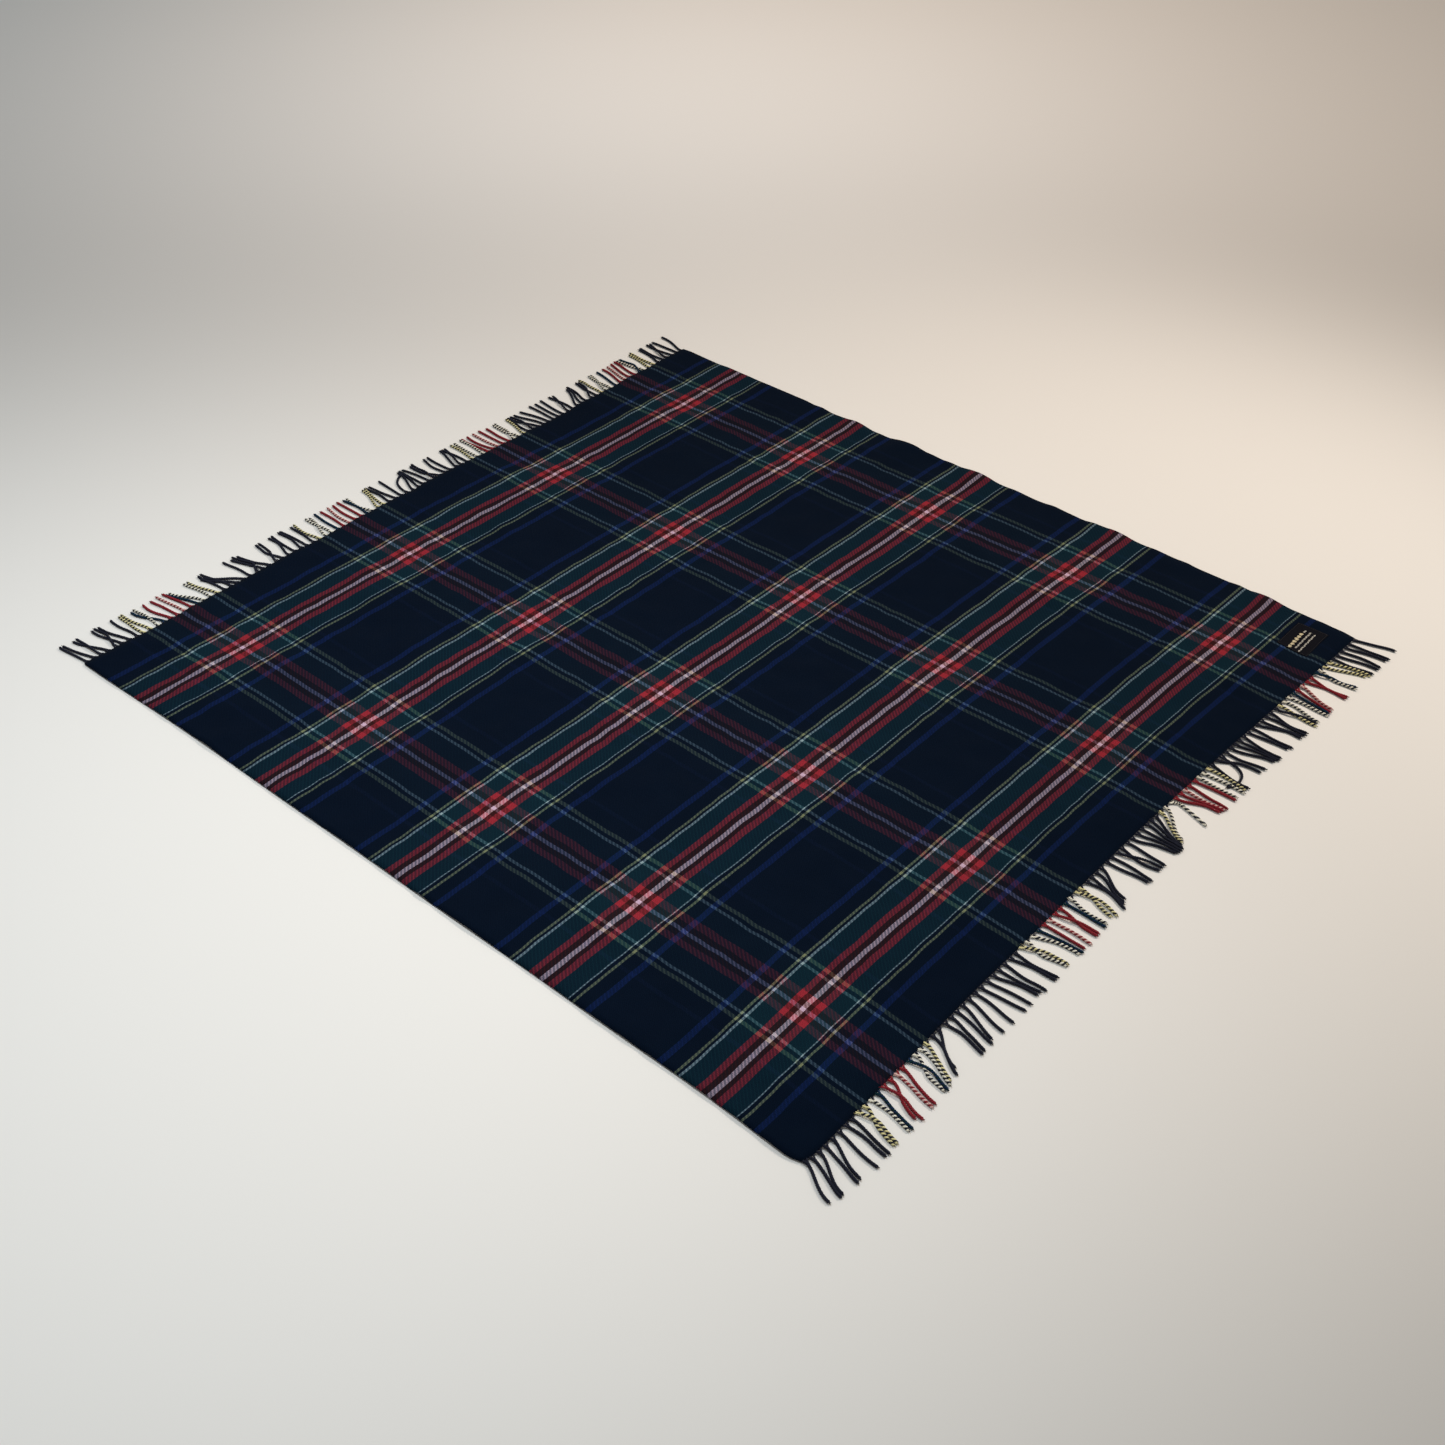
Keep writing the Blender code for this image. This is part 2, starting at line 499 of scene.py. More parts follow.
@dataclass(frozen=True)
class YarnFinish:
    """Twisted warp yarn: each ply in its own dye, with fine strands laid round it."""

    name: str
    swatch: Dye
    ply_turns_per_metre: float = 95.0
    strands_per_ply: int = 4
    relief: float = 0.0004
    sheen: ClothSheen = field(default_factory=ClothSheen)

    def material(self) -> bpy.types.Material:
        """Build the finish.

        Returns:
            The material.
        """
        material, sketch, shader = new_material(self.name, self.swatch)
        yarn = sketch.add("ShaderNodeAttribute", attribute_name=YARN_ATTRIBUTE).outputs["Vector"]
        side = sketch.add("ShaderNodeAttribute", attribute_name=SIDE_ATTRIBUTE).outputs["Vector"]
        # The dye attribute holds the yarn colour with painted light and shade in it.
        dye = sketch.add("ShaderNodeAttribute", attribute_name=LIT_DYE_ATTRIBUTE).outputs["Vector"]
        along, _, _ = sketch.split(yarn)
        side_x, side_y, _ = sketch.split(side)
        turn = sketch.math("DIVIDE", sketch.math("ARCTAN2", side_y, side_x), 2 * math.pi)
        lay = sketch.math("MULTIPLY_ADD", along, -self.ply_turns_per_metre, turn)
        strand = sketch.math("MULTIPLY", sketch.math("FRACT", lay), float(self.strands_per_ply))
        crown = sketch.math("SINE", sketch.math("MULTIPLY", sketch.math("FRACT", strand), math.pi))
        where = sketch.add("ShaderNodeTexCoord").outputs["Object"]
        fibres = sketch.noise(where, 1400.0)["Fac"]
        # Painted shade: the yarn is darker between its strands and lighter on their crowns.
        laid = sketch.math("MULTIPLY_ADD", crown, 0.45, 0.70)
        shade_and_tone = sketch.math("MULTIPLY", laid, sketch.math("MULTIPLY_ADD", fibres, 0.9, 0.55))
        sketch.paint(shader, dye, shade_and_tone)
        sketch.emboss(shader, sketch.math("MULTIPLY_ADD", fibres, 0.5, crown), self.relief, 0.8)
        self.sheen.dress(shader)
        return material


@dataclass(frozen=True)
class LabelWeaveFinish:
    """A dark satin label, woven in fine ribs across its width."""

    name: str = "label_satin"
    # Painted shade: the first colour is the shade between ribs, the second the rib's colour on its
    # crown.
    groove_shade: tuple[float, float, float] = (0.0015, 0.0018, 0.0035)
    crown: tuple[float, float, float] = (0.0080, 0.0085, 0.0125)
    rib_pitch: float = 0.0006
    thread_pitch: float = 0.0009
    relief: float = 0.0002
    sheen: ClothSheen = field(
        default_factory=lambda: ClothSheen(roughness=0.8, specular=0.02, sheen=0.0)
    )

    def material(self) -> bpy.types.Material:
        """Build the finish.

        Returns:
            The material.
        """
        material, sketch, shader = new_material(self.name, Dye.NAVY)
        uv = sketch.add("ShaderNodeUVMap", uv_map=LABEL_UV).outputs["UV"]
        across, down, _ = sketch.split(uv)
        rib = sketch.math("FRACT", sketch.math("DIVIDE", down, self.rib_pitch))
        row = sketch.math("FLOOR", sketch.math("DIVIDE", down, self.rib_pitch))
        threads = sketch.math("DIVIDE", across, self.thread_pitch)
        thread = sketch.math("FRACT", sketch.math("MULTIPLY_ADD", row, 0.4, threads))
        swell = sketch.math("SINE", sketch.math("MULTIPLY", rib, math.pi))
        gap = sketch.math("SINE", sketch.math("MULTIPLY", thread, math.pi))
        height = sketch.math("MULTIPLY", swell, sketch.math("POWER", gap, 0.3))
        fleck = sketch.noise(uv, 700.0)["Fac"]
        # Painted shade: the colour darkens between ribs and lightens on their crowns.
        shade_and_tone = sketch.math("ADD", sketch.math("MULTIPLY", height, 0.55), fleck)
        ramp = sketch.add("ShaderNodeMix", {"Factor": shade_and_tone}, data_type="RGBA")
        ramp.inputs[6].default_value = (*self.groove_shade, 1.0)
        ramp.inputs[7].default_value = (*self.crown, 1.0)
        sketch.paint(shader, ramp.outputs[2])
        sketch.emboss(shader, height, self.relief, 0.7)
        self.sheen.dress(shader)
        return material


@dataclass(frozen=True)
class ThreadFinish:
    """Filament thread in one colour, with the shine and the slubs of a stitch."""

    name: str
    light: tuple[float, float, float]
    pitch: float = 0.0005
    relief: float = 0.0002
    sheen: ClothSheen = field(
        default_factory=lambda: ClothSheen(roughness=0.55, specular=0.3, sheen=0.05)
    )

    def material(self) -> bpy.types.Material:
        """Build the finish.

        Returns:
            The material.
        """
        material, sketch, shader = new_material(self.name, Dye.NAVY)
        material.diffuse_color = (*self.light, 1.0)
        where = sketch.add("ShaderNodeTexCoord").outputs["Object"]
        x, y, _ = sketch.split(where)
        diagonal = sketch.math("DIVIDE", sketch.math("MULTIPLY_ADD", y, 0.6, x), self.pitch)
        ply = sketch.math("SINE", sketch.math("MULTIPLY", sketch.math("FRACT", diagonal), math.pi))
        fibres = sketch.noise(where, 1800.0)["Fac"]
        # Painted shade: the thread is darker between its plies and lighter on their crowns.
        laid = sketch.math("MULTIPLY_ADD", ply, 0.5, 0.65)
        shade_and_tone = sketch.math("MULTIPLY", laid, sketch.math("MULTIPLY_ADD", fibres, 0.5, 0.75))
        sketch.paint(shader, self.light, shade_and_tone)
        sketch.emboss(shader, ply, self.relief, 0.7)
        self.sheen.dress(shader)
        return material


def mesh_object(name: str, points: np.ndarray, edges: list, faces: list) -> bpy.types.Object:
    """Make a mesh object at the origin.

    Args:
        name: The object's name.
        points: The vertices, one row each.
        edges: Pairs of vertex numbers.
        faces: Loops of vertex numbers.

    Returns:
        The object, linked to the scene.
    """
    mesh = bpy.data.meshes.new(name)
    mesh.from_pydata([tuple(p) for p in points], edges, faces)
    mesh.update()
    made = bpy.data.objects.new(name, mesh)
    bpy.context.scene.collection.objects.link(made)
    return made


def final_mesh(obj: bpy.types.Object) -> bpy.types.Mesh:
    """Return a plain mesh of an object as its modifiers leave it."""
    depsgraph = bpy.context.evaluated_depsgraph_get()
    return bpy.data.meshes.new_from_object(obj.evaluated_get(depsgraph), depsgraph=depsgraph)


def bake_modifiers(obj: bpy.types.Object) -> None:
    """Put an object's evaluated mesh in its place and remove its modifiers."""
    mesh = final_mesh(obj)
    mesh.name = obj.name
    obj.modifiers.clear()
    obj.data = mesh


def set_inputs(modifier: bpy.types.NodesModifier, values: dict[str, object]) -> None:
    """Set a Geometry Nodes modifier's inputs by their sockets' identifiers.

    Args:
        modifier: The modifier, with its node group in place.
        values: A value for each input's name.
    """
    for item in modifier.node_group.interface.items_tree:
        if item.in_out == "INPUT" and item.name in values:
            modifier[item.identifier] = values[item.name]


def geometry_tree(name: str, inputs: dict[str, tuple[str, ...]]) -> bpy.types.NodeTree:
    """Start a Geometry Nodes tree with named inputs and one output of geometry.

    Args:
        name: The tree's name.
        inputs: The inputs' names for each type of socket.

    Returns:
        The tree.
    """
    tree = bpy.data.node_groups.new(name, "GeometryNodeTree")
    for kind, titles in inputs.items():
        for title in titles:
            tree.interface.new_socket(title, in_out="INPUT", socket_type=f"NodeSocket{kind}")
    tree.interface.new_socket("Made", in_out="OUTPUT", socket_type="NodeSocketGeometry")
    return tree


def finish_tree(sketch: NodeSketch, geometry: Socket, material: Socket) -> None:
    """End a Geometry Nodes tree with smooth, real, dressed geometry.

    Args:
        sketch: The tree.
        geometry: What it has made.
        material: The material to give it.
    """
    real = sketch.add("GeometryNodeRealizeInstances", {"Geometry": geometry})
    smoothed = sketch.add("GeometryNodeSetShadeSmooth", {"Geometry": real.outputs[0]})
    inputs = {"Geometry": smoothed.outputs[0], "Material": material}
    dressed = sketch.add("GeometryNodeSetMaterial", inputs)
    end = sketch.add("NodeGroupOutput")
    sketch.tree.links.new(dressed.outputs[0], end.inputs["Made"])


@dataclass(frozen=True)
class EdgeWave:
    """A place where a selvedge stands off the floor in a soft wave."""

    down: float
    height: float
    reach: float
    toward_far: float
    toward_near: float

    def rise(self, from_edge: np.ndarray, down: np.ndarray) -> np.ndarray:
        """Work out how far the wave lifts the cloth.

        Args:
            from_edge: Distances from the selvedge.
            down: Distances from the far end.

        Returns:
            The heights.
        """
        offset = down - self.down
        width = np.where(offset < 0, self.toward_far, self.toward_near)
        return self.height * np.exp(-((offset / width) ** 2)) * np.exp(-from_edge / self.reach)


@dataclass(frozen=True)
class Pull:
    """A soft place where the laid cloth is drawn aside in its own plane."""

    across: float
    down: float
    width: float
    length: float
    right: float
    near: float

    def strength(self, across: np.ndarray, down: np.ndarray) -> np.ndarray:
        """Work out how much of the pull each place on the cloth takes.

        Args:
            across: Distances from the left selvedge.
            down: Distances from the far end.

        Returns:
            The shares, from 0 to 1.
        """
        beside = (across - self.across) / self.width
        beyond = (down - self.down) / self.length
        return np.exp(-(beside**2) - beyond**2)


@dataclass
class ClothShape:
    """The shape that the cloth lies in, as a grid of points on its middle surface."""

    width: float
    length: float
    thickness: float
    cell: float = 0.020
    clearance: float = 0.0002
    ripple: float = 0.0006
    stray: float = 0.0004
    right_waves: tuple[EdgeWave, ...] = (
        EdgeWave(0.445, 0.0065, 0.050, 0.032, 0.020),
        EdgeWave(0.570, 0.0065, 0.045, 0.030, 0.018),
        EdgeWave(0.730, 0.0070, 0.045, 0.030, 0.020),
        EdgeWave(1.015, 0.0035, 0.040, 0.026, 0.018),
        EdgeWave(1.300, 0.0035, 0.040, 0.026, 0.018),
    )
    left_waves: tuple[EdgeWave, ...] = (EdgeWave(0.7775, 0.0040, 0.022, 0.012, 0.008),)
    pulls: tuple[Pull, ...] = (
        Pull(across=0.70, down=1.50, width=0.62, length=0.16, right=0.000, near=-0.021),
        Pull(across=0.70, down=1.00, width=0.50, length=0.24, right=0.000, near=-0.006),
        Pull(across=0.00, down=0.45, width=0.32, length=0.40, right=0.000, near=0.013),
        Pull(across=0.00, down=1.22, width=0.16, length=0.18, right=0.000, near=0.007),
        Pull(across=1.40, down=1.20, width=0.22, length=0.26, right=0.000, near=0.008),
        Pull(across=1.05, down=0.00, width=0.25, length=0.16, right=-0.004, near=0.007),
        Pull(across=0.10, down=0.00, width=0.35, length=0.14, right=-0.006, near=0.005),
        Pull(across=1.10, down=0.40, width=0.17, length=0.60, right=-0.010, near=0.000),
        Pull(across=0.55, down=0.70, width=0.30, length=0.70, right=0.004, near=0.003),
        Pull(across=0.22, down=1.50, width=0.28, length=0.14, right=-0.011, near=0.000),
        Pull(across=1.12, down=1.50, width=0.22, length=0.12, right=-0.008, near=0.000),
        Pull(across=1.40, down=1.15, width=0.18, length=0.45, right=0.006, near=0.000),
        Pull(across=0.84, down=1.20, width=0.16, length=0.16, right=0.006, near=0.000),
    )
    corner_tuck: float = 0.006
    corner_reach: float = 0.016
    drop: float = 0.002
    settle_frames: int = 24
    settle_limit: tuple[float, float, float] = (0.001, 0.001, 0.004)
    highest_rise: float = 0.008
    points: np.ndarray = field(default_factory=lambda: np.zeros((0, 0, 3)))

    def build(self, settle: bool) -> None:
        """Lay the cloth out.

        Args:
            settle: Whether the laid cloth then settles on the floor in a simulation.
        """
        self.columns = round(self.width / self.cell)
        self.rows = round(self.length / self.cell)
        across, down = np.meshgrid(
            np.linspace(0.0, self.width, self.columns + 1),
            np.linspace(0.0, self.length, self.rows + 1),
        )
        shift_x, shift_y = self.drift(across, down)
        x = across - self.width / 2 + shift_x
        y = self.length / 2 - down + shift_y
        z = self.lowest() + self.rise(across, down)
        self.points = np.stack([x, y, z], axis=-1)
        if settle:
            self.settle()

    def lowest(self) -> float:
        """Return the height of the middle surface where the cloth touches the floor."""
        return self.clearance + self.thickness / 2

    def rise(self, across: np.ndarray, down: np.ndarray) -> np.ndarray:
        """Work out how far the cloth stands off the floor.

        Args:
            across: Distances from the left selvedge.
            down: Distances from the far end.

        Returns:
            The heights over the lowest place.
        """
        lift = np.zeros_like(across)
        for wave in self.right_waves:
            lift += wave.rise(self.width - across, down)
        for wave in self.left_waves:
            lift += wave.rise(across, down)
        swell = np.sin(across * 9.1 + 1.3 * np.sin(down * 5.3)) * np.sin(down * 7.7 + across * 2.9)
        swell += 0.5 * np.sin(across * 21.0 - down * 13.0 + 0.7) * np.sin(down * 17.0 + 0.4)
        return lift + self.ripple * np.clip(swell, 0.0, None)

    def drift(self, across: np.ndarray, down: np.ndarray) -> tuple[np.ndarray, np.ndarray]:
        """Work out how far the cloth is pulled out of square in its own plane.

        Args:
            across: Distances from the left selvedge.
            down: Distances from the far end.

        Returns:
            The shifts along X and along Y.
        """
        right = sum(pull.right * pull.strength(across, down) for pull in self.pulls)
        near = sum(pull.near * pull.strength(across, down) for pull in self.pulls)
        wave_y = self.stray * np.sin(across * 17.0 + 2.1 * np.sin(down * 6.0) + 0.6)
        wave_x = self.stray * np.sin(down * 19.0 + 1.7 * np.sin(across * 7.0) + 2.0)
        corner = np.hypot(across, self.length - down)
        tuck = self.corner_tuck * np.exp(-((corner / self.corner_reach) ** 2))
        return right + wave_x + tuck, wave_y - near + tuck

    def settle(self) -> None:
        """Let the cloth settle on the floor in a short simulation, and keep the result."""
        start = self.points.copy()
        start[..., 2] += self.drop
        cloth = grid_object("settling_cloth", start)
        corners = [(-1.2, -1.2, 0.0), (1.2, -1.2, 0.0), (1.2, 1.2, 0.0), (-1.2, 1.2, 0.0)]
        floor = mesh_object("settling_floor", np.array(corners), [], [(0, 1, 2, 3)])
        floor.modifiers.new("Collision", "COLLISION")
        floor.collision.thickness_outer = self.lowest()
        floor.collision.cloth_friction = 40.0
        modifier = cloth.modifiers.new("Cloth", "CLOTH")
        woollen = {
            "quality": 8,
            "mass": 0.002,
            "tension_stiffness": 40.0,
            "compression_stiffness": 40.0,
            "shear_stiffness": 20.0,
            "bending_stiffness": 1.5,
            "air_damping": 4.0,
        }
        for name, value in woollen.items():
            setattr(modifier.settings, name, value)
        modifier.collision_settings.distance_min = 0.001
        modifier.point_cache.frame_start = 1
        modifier.point_cache.frame_end = self.settle_frames
        for number in range(1, self.settle_frames + 1):
            bpy.context.scene.frame_set(number)
        settled = final_mesh(cloth)
        points = np.empty(len(settled.vertices) * 3)
        settled.vertices.foreach_get("co", points)
        bpy.context.scene.frame_set(1)
        limit = np.array(self.settle_limit)
        moved = np.clip(points.reshape(self.points.shape) - self.points, -limit, limit)
        log.info("cloth settled: moved %.1f mm at most", 1000 * np.abs(moved).max())
        self.points = self.points + moved
        lowest = self.lowest()
        self.points[..., 2] = np.clip(self.points[..., 2], lowest, lowest + self.highest_rise)
        for obj in (cloth, floor):
            bpy.data.objects.remove(obj, do_unlink=True)
        bpy.data.meshes.remove(settled)

    def at(self, across: np.ndarray, down: np.ndarray) -> np.ndarray:
        """Read the middle surface anywhere, smoothly between the grid's points.

        Args:
            across: Distances from the left selvedge.
            down: Distances from the far end, in an array of the same shape.

        Returns:
            The points, one more axis than the inputs.
        """
        column = np.asarray(across) / self.width * self.columns
        row = np.asarray(down) / self.length * self.rows
        return between(self.points, column, row)


def between(grid: np.ndarray, column: np.ndarray, row: np.ndarray) -> np.ndarray:
    """Read a grid of vectors smoothly between its rows and columns.

    Args:
        grid: The grid, rows by columns by numbers.
        column: Places along the columns, from 0.
        row: Places along the rows, in an array of the same shape.

    Returns:
        The vectors, one more axis than the places.
    """
    last_row, last_column = grid.shape[0] - 1, grid.shape[1] - 1
    column, row = np.clip(column, 0, last_column), np.clip(row, 0, last_row)
    c0 = np.minimum(column.astype(int), last_column - 1)
    r0 = np.minimum(row.astype(int), last_row - 1)
    total = np.zeros((*np.shape(column), grid.shape[2]))
    for i, across_weight in enumerate(catmull_rom(column - c0)):
        for j, down_weight in enumerate(catmull_rom(row - r0)):
            weight = (across_weight * down_weight)[..., None]
            total += weight * extended(grid, r0 + j - 1, c0 + i - 1)
    return total


def extended(grid: np.ndarray, row: np.ndarray, column: np.ndarray) -> np.ndarray:
    """Read a grid's entries, carried on in a straight line for one step past its edges.

    Args:
        grid: The grid, rows by columns by numbers.
        row: Row numbers, from -1 to one past the last.
        column: Column numbers, from -1 to one past the last.

    Returns:
        The entries.
    """
    last_row, last_column = grid.shape[0] - 1, grid.shape[1] - 1
    r, c = np.clip(row, 0, last_row), np.clip(column, 0, last_column)
    r_in, c_in = 2 * r - row, 2 * c - column
    return grid[r, c] + (grid[r, c] - grid[r_in, c]) + (grid[r, c] - grid[r, c_in])


def catmull_rom(share: np.ndarray) -> tuple[np.ndarray, np.ndarray, np.ndarray, np.ndarray]:
    """Return the weights of the four points around a place, as a smooth curve takes them."""
    s2, s3 = share**2, share**3
    return (
        0.5 * (-s3 + 2 * s2 - share),
        0.5 * (3 * s3 - 5 * s2 + 2),
        0.5 * (-3 * s3 + 4 * s2 + share),
        0.5 * (s3 - s2),
    )


def grid_object(name: str, points: np.ndarray) -> bpy.types.Object:
    """Make a sheet from a grid of points, facing up where rows run towards -Y and columns to +X.

    Args:
        name: The object's name.
        points: The grid, rows by columns by three.

    Returns:
        The object.
    """
    rows, columns = points.shape[:2]
    number = np.arange(rows * columns).reshape(rows, columns)
    corners = (number[1:, :-1], number[1:, 1:], number[:-1, 1:], number[:-1, :-1])
    faces = np.stack(corners, axis=-1).reshape(-1, 4).tolist()
    return mesh_object(name, points.reshape(-1, 3), [], faces)


def carry(obj: bpy.types.Object, kind: str, values: dict[str, list | np.ndarray]) -> None:
    """Let an object's points carry numbers or vectors.

    Args:
        obj: The object.
        kind: FLOAT for numbers, FLOAT_VECTOR for vectors.
        values: What each attribute holds, one entry for each point.
    """
    member = "value" if kind == "FLOAT" else "vector"
    for name, entries in values.items():
        layer = obj.data.attributes.new(name, kind, "POINT")
        layer.data.foreach_set(member, np.array(entries, np.float32).ravel())


def map_flat(obj: bpy.types.Object, name: str, places: np.ndarray) -> None:
    """Give a sheet a UV map that holds its flat cut, in metres.

    Args:
        obj: The sheet.
        name: The map's name.
        places: The place of each vertex on the cut, one row each.
    """
    layer = obj.data.uv_layers.new(name=name)
    loops = np.empty(len(obj.data.loops), int)
    obj.data.loops.foreach_get("vertex_index", loops)
    layer.data.foreach_set("uv", places[loops].astype(np.float32).ravel())


def smooth(obj: bpy.types.Object) -> None:
    """Shade an object's faces smooth."""
    obj.data.polygons.foreach_set("use_smooth", [True] * len(obj.data.polygons))
    obj.data.update()


@dataclass
class ThrowCloth:
    """The woven cloth, which is one piece, with close rows along the fold across its middle."""

    shape: ClothShape
    fine_cell: float = 0.010
    fold_cell: float = 0.0025
    fold_from: float = 0.004
    fold_to: float = -0.020
    piece: bpy.types.Object | None = None

    def build(self) -> None:
        """Make the cloth's mesh from the laid shape."""
        shape = self.shape
        columns = round(shape.width / self.fine_cell)
        across = np.linspace(0.0, shape.width, columns + 1)
        grid_across, grid_down = np.meshgrid(across, self.rows())
        self.piece = grid_object("throw_cloth", shape.at(grid_across, grid_down))
        map_flat(self.piece, CLOTH_UV, np.stack([grid_across.ravel(), grid_down.ravel()], axis=-1))
        smooth(self.piece)
        solid = self.piece.modifiers.new("Thickness", "SOLIDIFY")
        solid.thickness = shape.thickness
        solid.offset = 0.0
        bake_modifiers(self.piece)

    def rows(self) -> np.ndarray:
        """Return the rows' distances from the far end, close together where the cloth folds."""
        middle = self.shape.length / 2
        first = middle - self.fold_from - 2 * self.fold_cell
        last = middle - self.fold_to + 2 * self.fold_cell
        far = np.linspace(0.0, first, round(first / self.fine_cell) + 1)
        fold = np.linspace(first, last, round((last - first) / self.fold_cell) + 1)
        rest = self.shape.length - last
        near = np.linspace(last, self.shape.length, round(rest / self.fine_cell) + 1)
        return np.concatenate([far, fold[1:], near[1:]])

    def dress(self, finish: TwillFinish) -> None:
        """Give the cloth its finish, bake its place into its mesh, and hide the imported cloth parts.
        """
        self.piece.data.materials.clear()
        self.piece.data.materials.append(finish.material())
        height = self.shape.lowest()
        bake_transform(self.piece)
        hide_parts("far_cloth", "near_cloth")


class End(Enum):
    """The two woven ends of the cloth, with the way that their fringes point along Y."""

    FAR = 1.0
    NEAR = -1.0

    @property
    def word(self) -> str:
        """Return the end's name as the nodes have it."""
        return self.name.lower()


@dataclass(frozen=True)
class TasselDye:
    """The dyes of a tassel's two plies, up to a distance from the middle of a red band."""

    reach: float
    plies: tuple[Dye, Dye]


FRINGE_ORDER = (
    TasselDye(0.0070, (Dye.LILAC, Dye.RED)),
    TasselDye(0.0290, (Dye.RED, Dye.RED)),
    TasselDye(0.0370, (Dye.GREEN, Dye.BLUE)),
    TasselDye(0.0590, (Dye.WHITE, Dye.NAVY)),
    TasselDye(0.0765, (Dye.YELLOW, Dye.NAVY)),
    TasselDye(0.1760, (Dye.NAVY, Dye.NAVY)),
)


def tassel_dyes(place: float) -> tuple[Dye, Dye]:
    """Look up a tassel's two dyes from its place on the warp.

    Args:
        place: The distance from the left selvedge.

    Returns:
        The dyes of its plies.
    """
    from_band = (place - WARP.first_centre) % WARP.repeat
    from_band = min(from_band, WARP.repeat - from_band)
    return next(entry.plies for entry in FRINGE_ORDER if from_band <= entry.reach)


@dataclass
class Tassel:
    """One tassel: its place on the warp, and the line that it lies along."""

    place: float
    line: np.ndarray


@dataclass(frozen=True)
class Comb:
    """How the tassels of one end lie: which way they lean, and how they bunch up.

    The lean is a list of places across the cloth with how far the tips stray along X there. A set
    bunch is the number of its first tassel, how many it has, and how far its tips stray. A bent
    tassel is its number, and the places along it, each across and outward from its root.
    """

    end: End
    lean: tuple[tuple[float, float], ...]
    seed: int
    crossing_share: float
    bunch_weights: tuple[float, ...]
    set_bunches: tuple[tuple[int, int, float], ...] = ()
    bent: tuple[tuple[int, tuple[tuple[float, float], ...]], ...] = ()

    def lean_at(self, across: float) -> float:
        """Return how far the tips stray along X at a place across."""
        places = [place for place, _ in self.lean]
        return float(np.interp(across, places, [lean for _, lean in self.lean]))


NEAR_COMB = Comb(
    end=End.NEAR,
    lean=((0.0, -0.026), (1.4, 0.014)),
    seed=11,
    crossing_share=0.35,
    bunch_weights=(0.16, 0.30, 0.32, 0.22),
    set_bunches=(
        (0, 1, -0.028), (1, 2, -0.026), (3, 2, -0.021), (5, 1, -0.011), (6, 2, -0.008),
        (8, 2, -0.015), (10, 2, -0.012), (12, 2, -0.018), (14, 2, -0.016), (16, 2, -0.014),
        (18, 2, -0.026), (20, 2, -0.034), (22, 2, -0.013), (24, 2, -0.018), (26, 1, -0.016),
        (27, 1, -0.008), (28, 1, 0.006), (29, 1, 0.006), (30, 3, 0.004), (33, 2, 0.004),
        (35, 2, 0.006), (37, 2, 0.010), (39, 1, -0.001), (40, 1, -0.001), (41, 2, -0.001),
        (43, 2, -0.006), (45, 2, -0.010), (47, 4, -0.020), (51, 2, 0.000), (53, 3, 0.002),
        (56, 4, 0.003), (60, 4, -0.033), (64, 1, -0.010), (65, 4, 0.004), (69, 2, 0.000),
        (71, 3, -0.005), (74, 3, 0.013), (77, 4, 0.004), (81, 2, 0.002), (83, 4, 0.004),
        (87, 3, -0.003), (90, 2, -0.004), (92, 2, -0.020), (94, 2, -0.002), (96, 2, 0.002),
        (98, 3, 0.013), (101, 2, 0.006), (103, 2, 0.008), (105, 1, 0.018),
    ),
    bent=(
        (64, ((0.0, 0.0), (0.005, 0.009), (0.006, 0.016), (0.000, 0.036), (-0.009, 0.064))),
        (75, ((0.0, 0.0), (-0.006, 0.030), (-0.018, 0.046), (-0.038, 0.050), (-0.056, 0.043))),
    ),
)

FAR_COMB = Comb(
    end=End.FAR,
    lean=((0.0, -0.014), (0.3, -0.010), (0.45, 0.0), (0.9, 0.002), (1.2, 0.010), (1.4, 0.008)),
    seed=4,
    crossing_share=0.40,
    bunch_weights=(0.28, 0.36, 0.24, 0.12),
    set_bunches=(
        (0, 2, -0.012), (2, 2, -0.014), (4, 3, -0.008), (7, 1, -0.004), (8, 2, -0.006),
        (10, 2, -0.012), (12, 1, -0.010), (13, 1, -0.008), (14, 1, -0.008), (15, 1, -0.010),
        (16, 2, -0.024), (18, 2, -0.012), (20, 2, -0.010), (22, 2, -0.040), (24, 1, -0.006),
        (25, 3, -0.014), (28, 2, 0.004), (30, 2, 0.006), (38, 1, 0.002), (39, 1, 0.002),
        (40, 1, 0.004), (41, 1, 0.002), (42, 1, 0.000), (43, 2, -0.004), (45, 2, 0.014),
        (51, 2, 0.016), (53, 2, -0.004), (55, 2, -0.006), (59, 3, 0.010), (65, 1, -0.004),
        (66, 1, -0.004), (67, 1, -0.002), (68, 1, 0.000), (69, 1, 0.002), (70, 2, 0.004),
        (72, 2, 0.010), (74, 2, -0.008), (76, 1, -0.016), (77, 1, -0.012), (78, 1, 0.002),
        (79, 1, 0.003), (80, 1, 0.006), (81, 2, 0.010), (83, 2, 0.028), (91, 1, 0.012),
        (92, 1, 0.014), (93, 1, 0.014), (94, 1, 0.013), (95, 1, 0.010), (96, 2, 0.000),
        (98, 2, 0.006), (100, 2, 0.008), (102, 3, 0.004), (105, 1, 0.016),
    ),
    bent=((50, ((0.0, 0.0), (0.002, 0.020), (0.010, 0.040), (0.026, 0.053), (0.038, 0.057))),),
)


